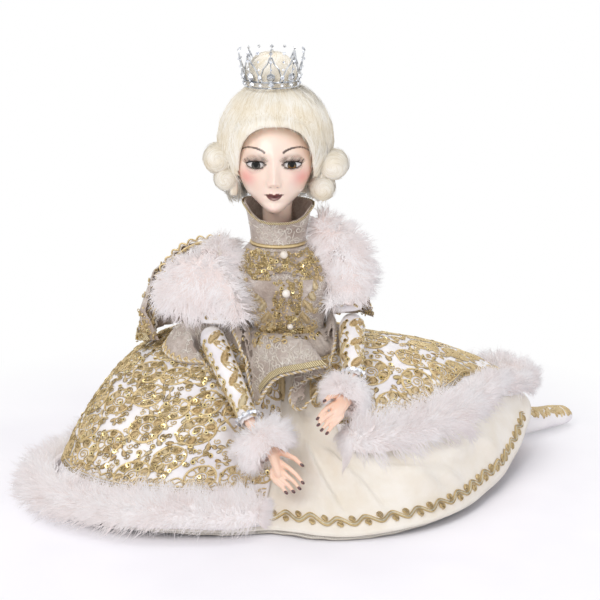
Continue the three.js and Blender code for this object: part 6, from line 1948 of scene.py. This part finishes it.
# Arms, hands, legs and shoes
NAILS = {
    "right": ([[22.5, -112, 37.5], [20, -113.5, 33.5], [15.5, -114, 31], [10, -113.5, 30], [22, -104, 48.5]],
              [[9, -101.5, 47.5], [6, -103.5, 43.5], [2.5, -104.5, 40.5], [-1, -105, 38.5], [14, -99, 54]]),
    "left": ([[33, -94, 82], [33.5, -97, 78], [36, -98.5, 74.5], [40, -99, 72], [38, -90, 94.5]],
             [[44, -85, 90.5], [46.5, -87, 86.5], [49, -88, 83.5], [51.5, -88.5, 81.5], [43.5, -85, 97.5]]),
}


def sleeves():
    rng = np.random.default_rng(61)
    made = []
    for side in ("right", "left"):
        shoulder, elbow, wrist, _ = ARMS[side]
        for part, body, axis, radius in (
            ("upper_sleeve", "arm_" + side, (shoulder, elbow), 11.5),
            ("lower_sleeve", "forearm_" + side, (elbow, wrist), 9.0),
        ):
            node_name = part + "_" + side
            cloth_piece = soft(node_name, "satin_" + node_name, body, "sleeve_satin", 1.15, 3)
            made.append(cloth_piece)
            tree = tree_over(cloth_piece)
            length = math.dist(*axis)
            rays = around(axis, radius)
            rows = [(s * math.pi * radius / 2 - 5, t, k % 2) for s in range(-2, 2)
                    for k, t in enumerate(np.arange(3 + 5 * (s % 2), length, 10.0))]
            centres, lean = np.array(rows)[:, :2], np.array(rows)[:, 2]
            count = len(centres)
            turn = 0.95 + 1.25 * lean + rng.normal(0, 0.15, count)
            shape = np.array([leaf(14.5, 5.4, (-6, 0.4))])
            drawn = placed(shape, centres, turn, rng.uniform(0.85, 1.1, count))
            heap = Heap()
            line, up, _ = pressed(tree, rays, drawn)
            if len(line):
                pads(heap, line[:, :-1], up[:, :-1], 0.55, slot=1, tone=rng.uniform(0, 1, len(line)))
                cords(heap, line, up, 0.9, 0.6, slot=0, tone=rng.uniform(0.1, 0.9, len(line)))
            finished(heap, "lace_" + node_name, "gold_cord lace_fill", body, "satin")
            heap = Heap()
            spots = np.array([(s * math.pi * radius / 2 + 4 + 1.6 * (k % 2), t) for s in range(-2, 2)
                              for k, t in enumerate(np.arange(4, length, 6.5))])[:, None, :]
            spots = np.repeat(spots, 2, 1)
            line, up, _ = pressed(tree, rays, spots, 5)
            if len(line):
                copies(heap, sequin(), line[:, 0] + up[:, 0] * 0.5, up[:, 0],
                       rng.uniform(0.75, 0.95, len(line)))
                finished(heap, "sequins_" + node_name, "sequin sequin_eye", body, "satin", smooth=False)
    return made


def hands():
    for side in ("right", "left"):
        forearm = "forearm_" + side
        piece = soft(forearm, "porcelain_" + forearm, forearm, "skin", 0.68, 3)
        tree = tree_over(piece)
        heap = Heap()
        facing = np.array([-0.25 if side == "right" else 0.1, -0.75, 0.7])
        for tip, knuckle in zip(*NAILS[side]):
            tip, knuckle = np.array(tip, float), np.array(knuckle, float)
            way = unit(tip - knuckle)
            up = unit(facing - way * (facing @ way))
            bpy.ops.mesh.primitive_uv_sphere_add(segments=14, ring_count=10, radius=1.0 * MM)
            ball = bpy.context.object
            points, groups = taken(ball)
            seat = tree.ray_cast((tip - way * 0.4 + up * 12).tolist(), (-up).tolist(), 20)
            seat = np.array(seat[0]) if seat[0] is not None else tip + up * 1.5
            across = np.cross(way, up)
            shaped = points * [1.15, 2.0, 0.55]
            shaped[:, 2] -= 0.25 * shaped[:, 0] ** 2
            placed_points = seat + shaped[:, :1] * across + shaped[:, 1:2] * way + shaped[:, 2:] * up
            faces = [f for _, f in groups]
            if np.dot(np.cross(across, way), up) < 0:
                faces = [f[:, ::-1] for f in faces]
            heap.add(placed_points, faces)
        finished(heap, "nails_" + side, "nail_lacquer", forearm, "porcelain")


def legs_and_shoes():
    rng = np.random.default_rng(62)
    body = soft("cloth_body", "stuffed_body", "body", "calico", 2.4, 3)
    pieces = [soft("neck_felt", "neck_felt_washer", "body", "felt", 0.5, 1)]
    for side in ("right", "left"):
        for node_name, name, rides, voxel, grow in (
            ("thigh_", "stuffed_thigh_", "body", 1.6, -0.8),
            ("upper_arm_", "stuffed_arm_", "arm_" + side, 1.3, -0.6),
        ):
            pieces.append(soft(node_name + side, name + side, rides, "calico", voxel, 2, grow))
    for side, rides in (("right", "body"), ("left", "lower_leg_left")):
        shoe = soft("shoe_" + side, "court_shoe_" + side, rides, "shoe_satin", 1.1, 4)
        tree = tree_over(shoe)
        toe = {"right": (156, 34), "left": (252, 127)}[side]
        ankle = {"right": (136, 10), "left": (212, 96)}[side]
        way = unit(np.array(toe, float) - ankle)
        across = np.array([way[1], -way[0]])

        def rays(strokes):
            spot = np.array(ankle) + strokes[..., 1:] * way + strokes[..., :1] * across
            origins = stack(spot[..., 0], spot[..., 1], 90 + 0 * spot[..., 0])
            return origins, np.broadcast_to([0.0, 0.0, -1.0], origins.shape)

        centres = field((-12, -8), (12, 64), 5.2, rng)
        drawn = placed(SPRAY_LEAVES, centres, rng.uniform(0, 6.28, len(centres)), 0.75)
        heap = Heap()
        line, up, _ = pressed(tree, rays, drawn)
        if len(line):
            cords(heap, line, up, 0.8, 0.55, slot=0, tone=rng.uniform(0.1, 0.9, len(line)))
            pads(heap, line[:, :-1], up[:, :-1], 0.6, slot=1, tone=rng.uniform(0, 1, len(line)))
            finished(heap, "shoe_lace_" + side, "gold_cord lace_fill", rides, "shoe_cloth")


def hard_pieces():
    """CAD nodes that keep their own form take the finish of their slot."""
    looks = {
        "porcelain": "skin", "steel": "steel", "felt": "felt", "silver_wire": "silver_wire",
        "calico": "calico", "pearl": "pearl", "braid": "braid", "hair": "hair",
    }
    for part in frame["record"]["subparts"]:
        name = part["node"]
        piece = frame["nodes"][name]
        if piece.hide_render:
            continue
        key = looks.get(part["material_slot"])
        if name.startswith("bracelet"):
            key = "gem"
        if key:
            piece.data.materials.clear()
            piece.data.materials.append(LOOKS[key])


# Floor and light
def white_to_the_camera(material, lit, share):
    """Shows plain white to the camera and to mirrors where share is 1, and the lit surface elsewhere."""
    rays = node(material, "LightPath")
    seen = node(material, "Math", {0: rays.outputs["Is Camera Ray"], 1: rays.outputs["Is Glossy Ray"]},
                operation="MAXIMUM").outputs[0]
    seen = node(material, "Math", {0: seen, 1: rays.outputs["Is Transmission Ray"]},
                operation="MAXIMUM").outputs[0]
    share = node(material, "Math", {0: seen, 1: share}, operation="MULTIPLY").outputs[0] if share else seen
    plain = node(material, "Emission" if share is not seen else "Background",
                 {"Color": (1, 1, 1, 1), "Strength": 1.0})
    chosen = node(material, "MixShader", {0: share})
    material.node_tree.links.new(lit, chosen.inputs[1])
    material.node_tree.links.new(plain.outputs[0], chosen.inputs[2])
    return chosen.outputs[0]


def stage():
    bpy.ops.mesh.primitive_plane_add(size=12, location=(0, 0, -0.0004))
    floor = bpy.context.object
    floor.name = "floor"
    pale = finish("pale_floor", "f6f4f8", 0.9)
    where = on_object(pale)
    speck = noise(pale, where, 60, 2)
    drive(pale, "Base Color", ramp(pale, speck, (0.3, "f4f2f6"), (0.7, "faf8fb")))
    reach = node(pale, "VectorMath", {0: where}, operation="LENGTH").outputs["Value"]
    far = node(pale, "MapRange", {"Value": reach, "From Min": 0.2, "From Max": 0.42}).outputs["Result"]
    end = pale.node_tree.nodes["Material Output"]
    seen = white_to_the_camera(pale, shader_of(pale).outputs[0], far)
    pale.node_tree.links.new(seen, end.inputs["Surface"])
    floor.data.materials.append(pale)

    world = bpy.context.scene.world or bpy.data.worlds.new("studio")
    bpy.context.scene.world = world
    world.use_nodes = True
    sky = world.node_tree.nodes["Background"]
    sky.inputs["Color"].default_value = (0.95, 0.95, 1.0, 1)
    sky.inputs["Strength"].default_value = 0.6
    world.node_tree.links.new(white_to_the_camera(world, sky.outputs[0], None),
                              world.node_tree.nodes["World Output"].inputs["Surface"])

    lamps = (
        ("key", (-0.75, -1.15, 1.35), 0.9, 12.5, (1.0, 0.985, 0.96)),
        ("fill", (1.25, -0.9, 0.75), 1.1, 4.5, (0.96, 0.97, 1.0)),
        ("top", (0.1, 0.55, 1.5), 1.0, 6.0, (1.0, 1.0, 1.0)),
    )
    for name, place, size, energy, tint in lamps:
        bpy.ops.object.light_add(type="AREA", location=place)
        lamp = bpy.context.object
        lamp.name = name
        lamp.data.size = size
        lamp.data.energy = energy
        lamp.data.color = tint
        aim = Vector((0, 0, 0.14)) - Vector(place)
        lamp.rotation_euler = aim.to_track_quat("-Z", "Y").to_euler()


overskirt, underskirt, petticoat = skirts()
porcelain_head()
eyes_and_lashes()
wig_cap()
hairline()
bun()
curls()
back_hair()
crown_stones()
furs()
overskirt_lace()
gimp()
bodice, collar = bodice_and_collar()
flap = peplum(bodice)
heading = waist_heading(bodice)
hanging = wings()
draped = swag()
padded_sleeves = sleeves()
hands()
legs_and_shoes()
hard_pieces()
stage()
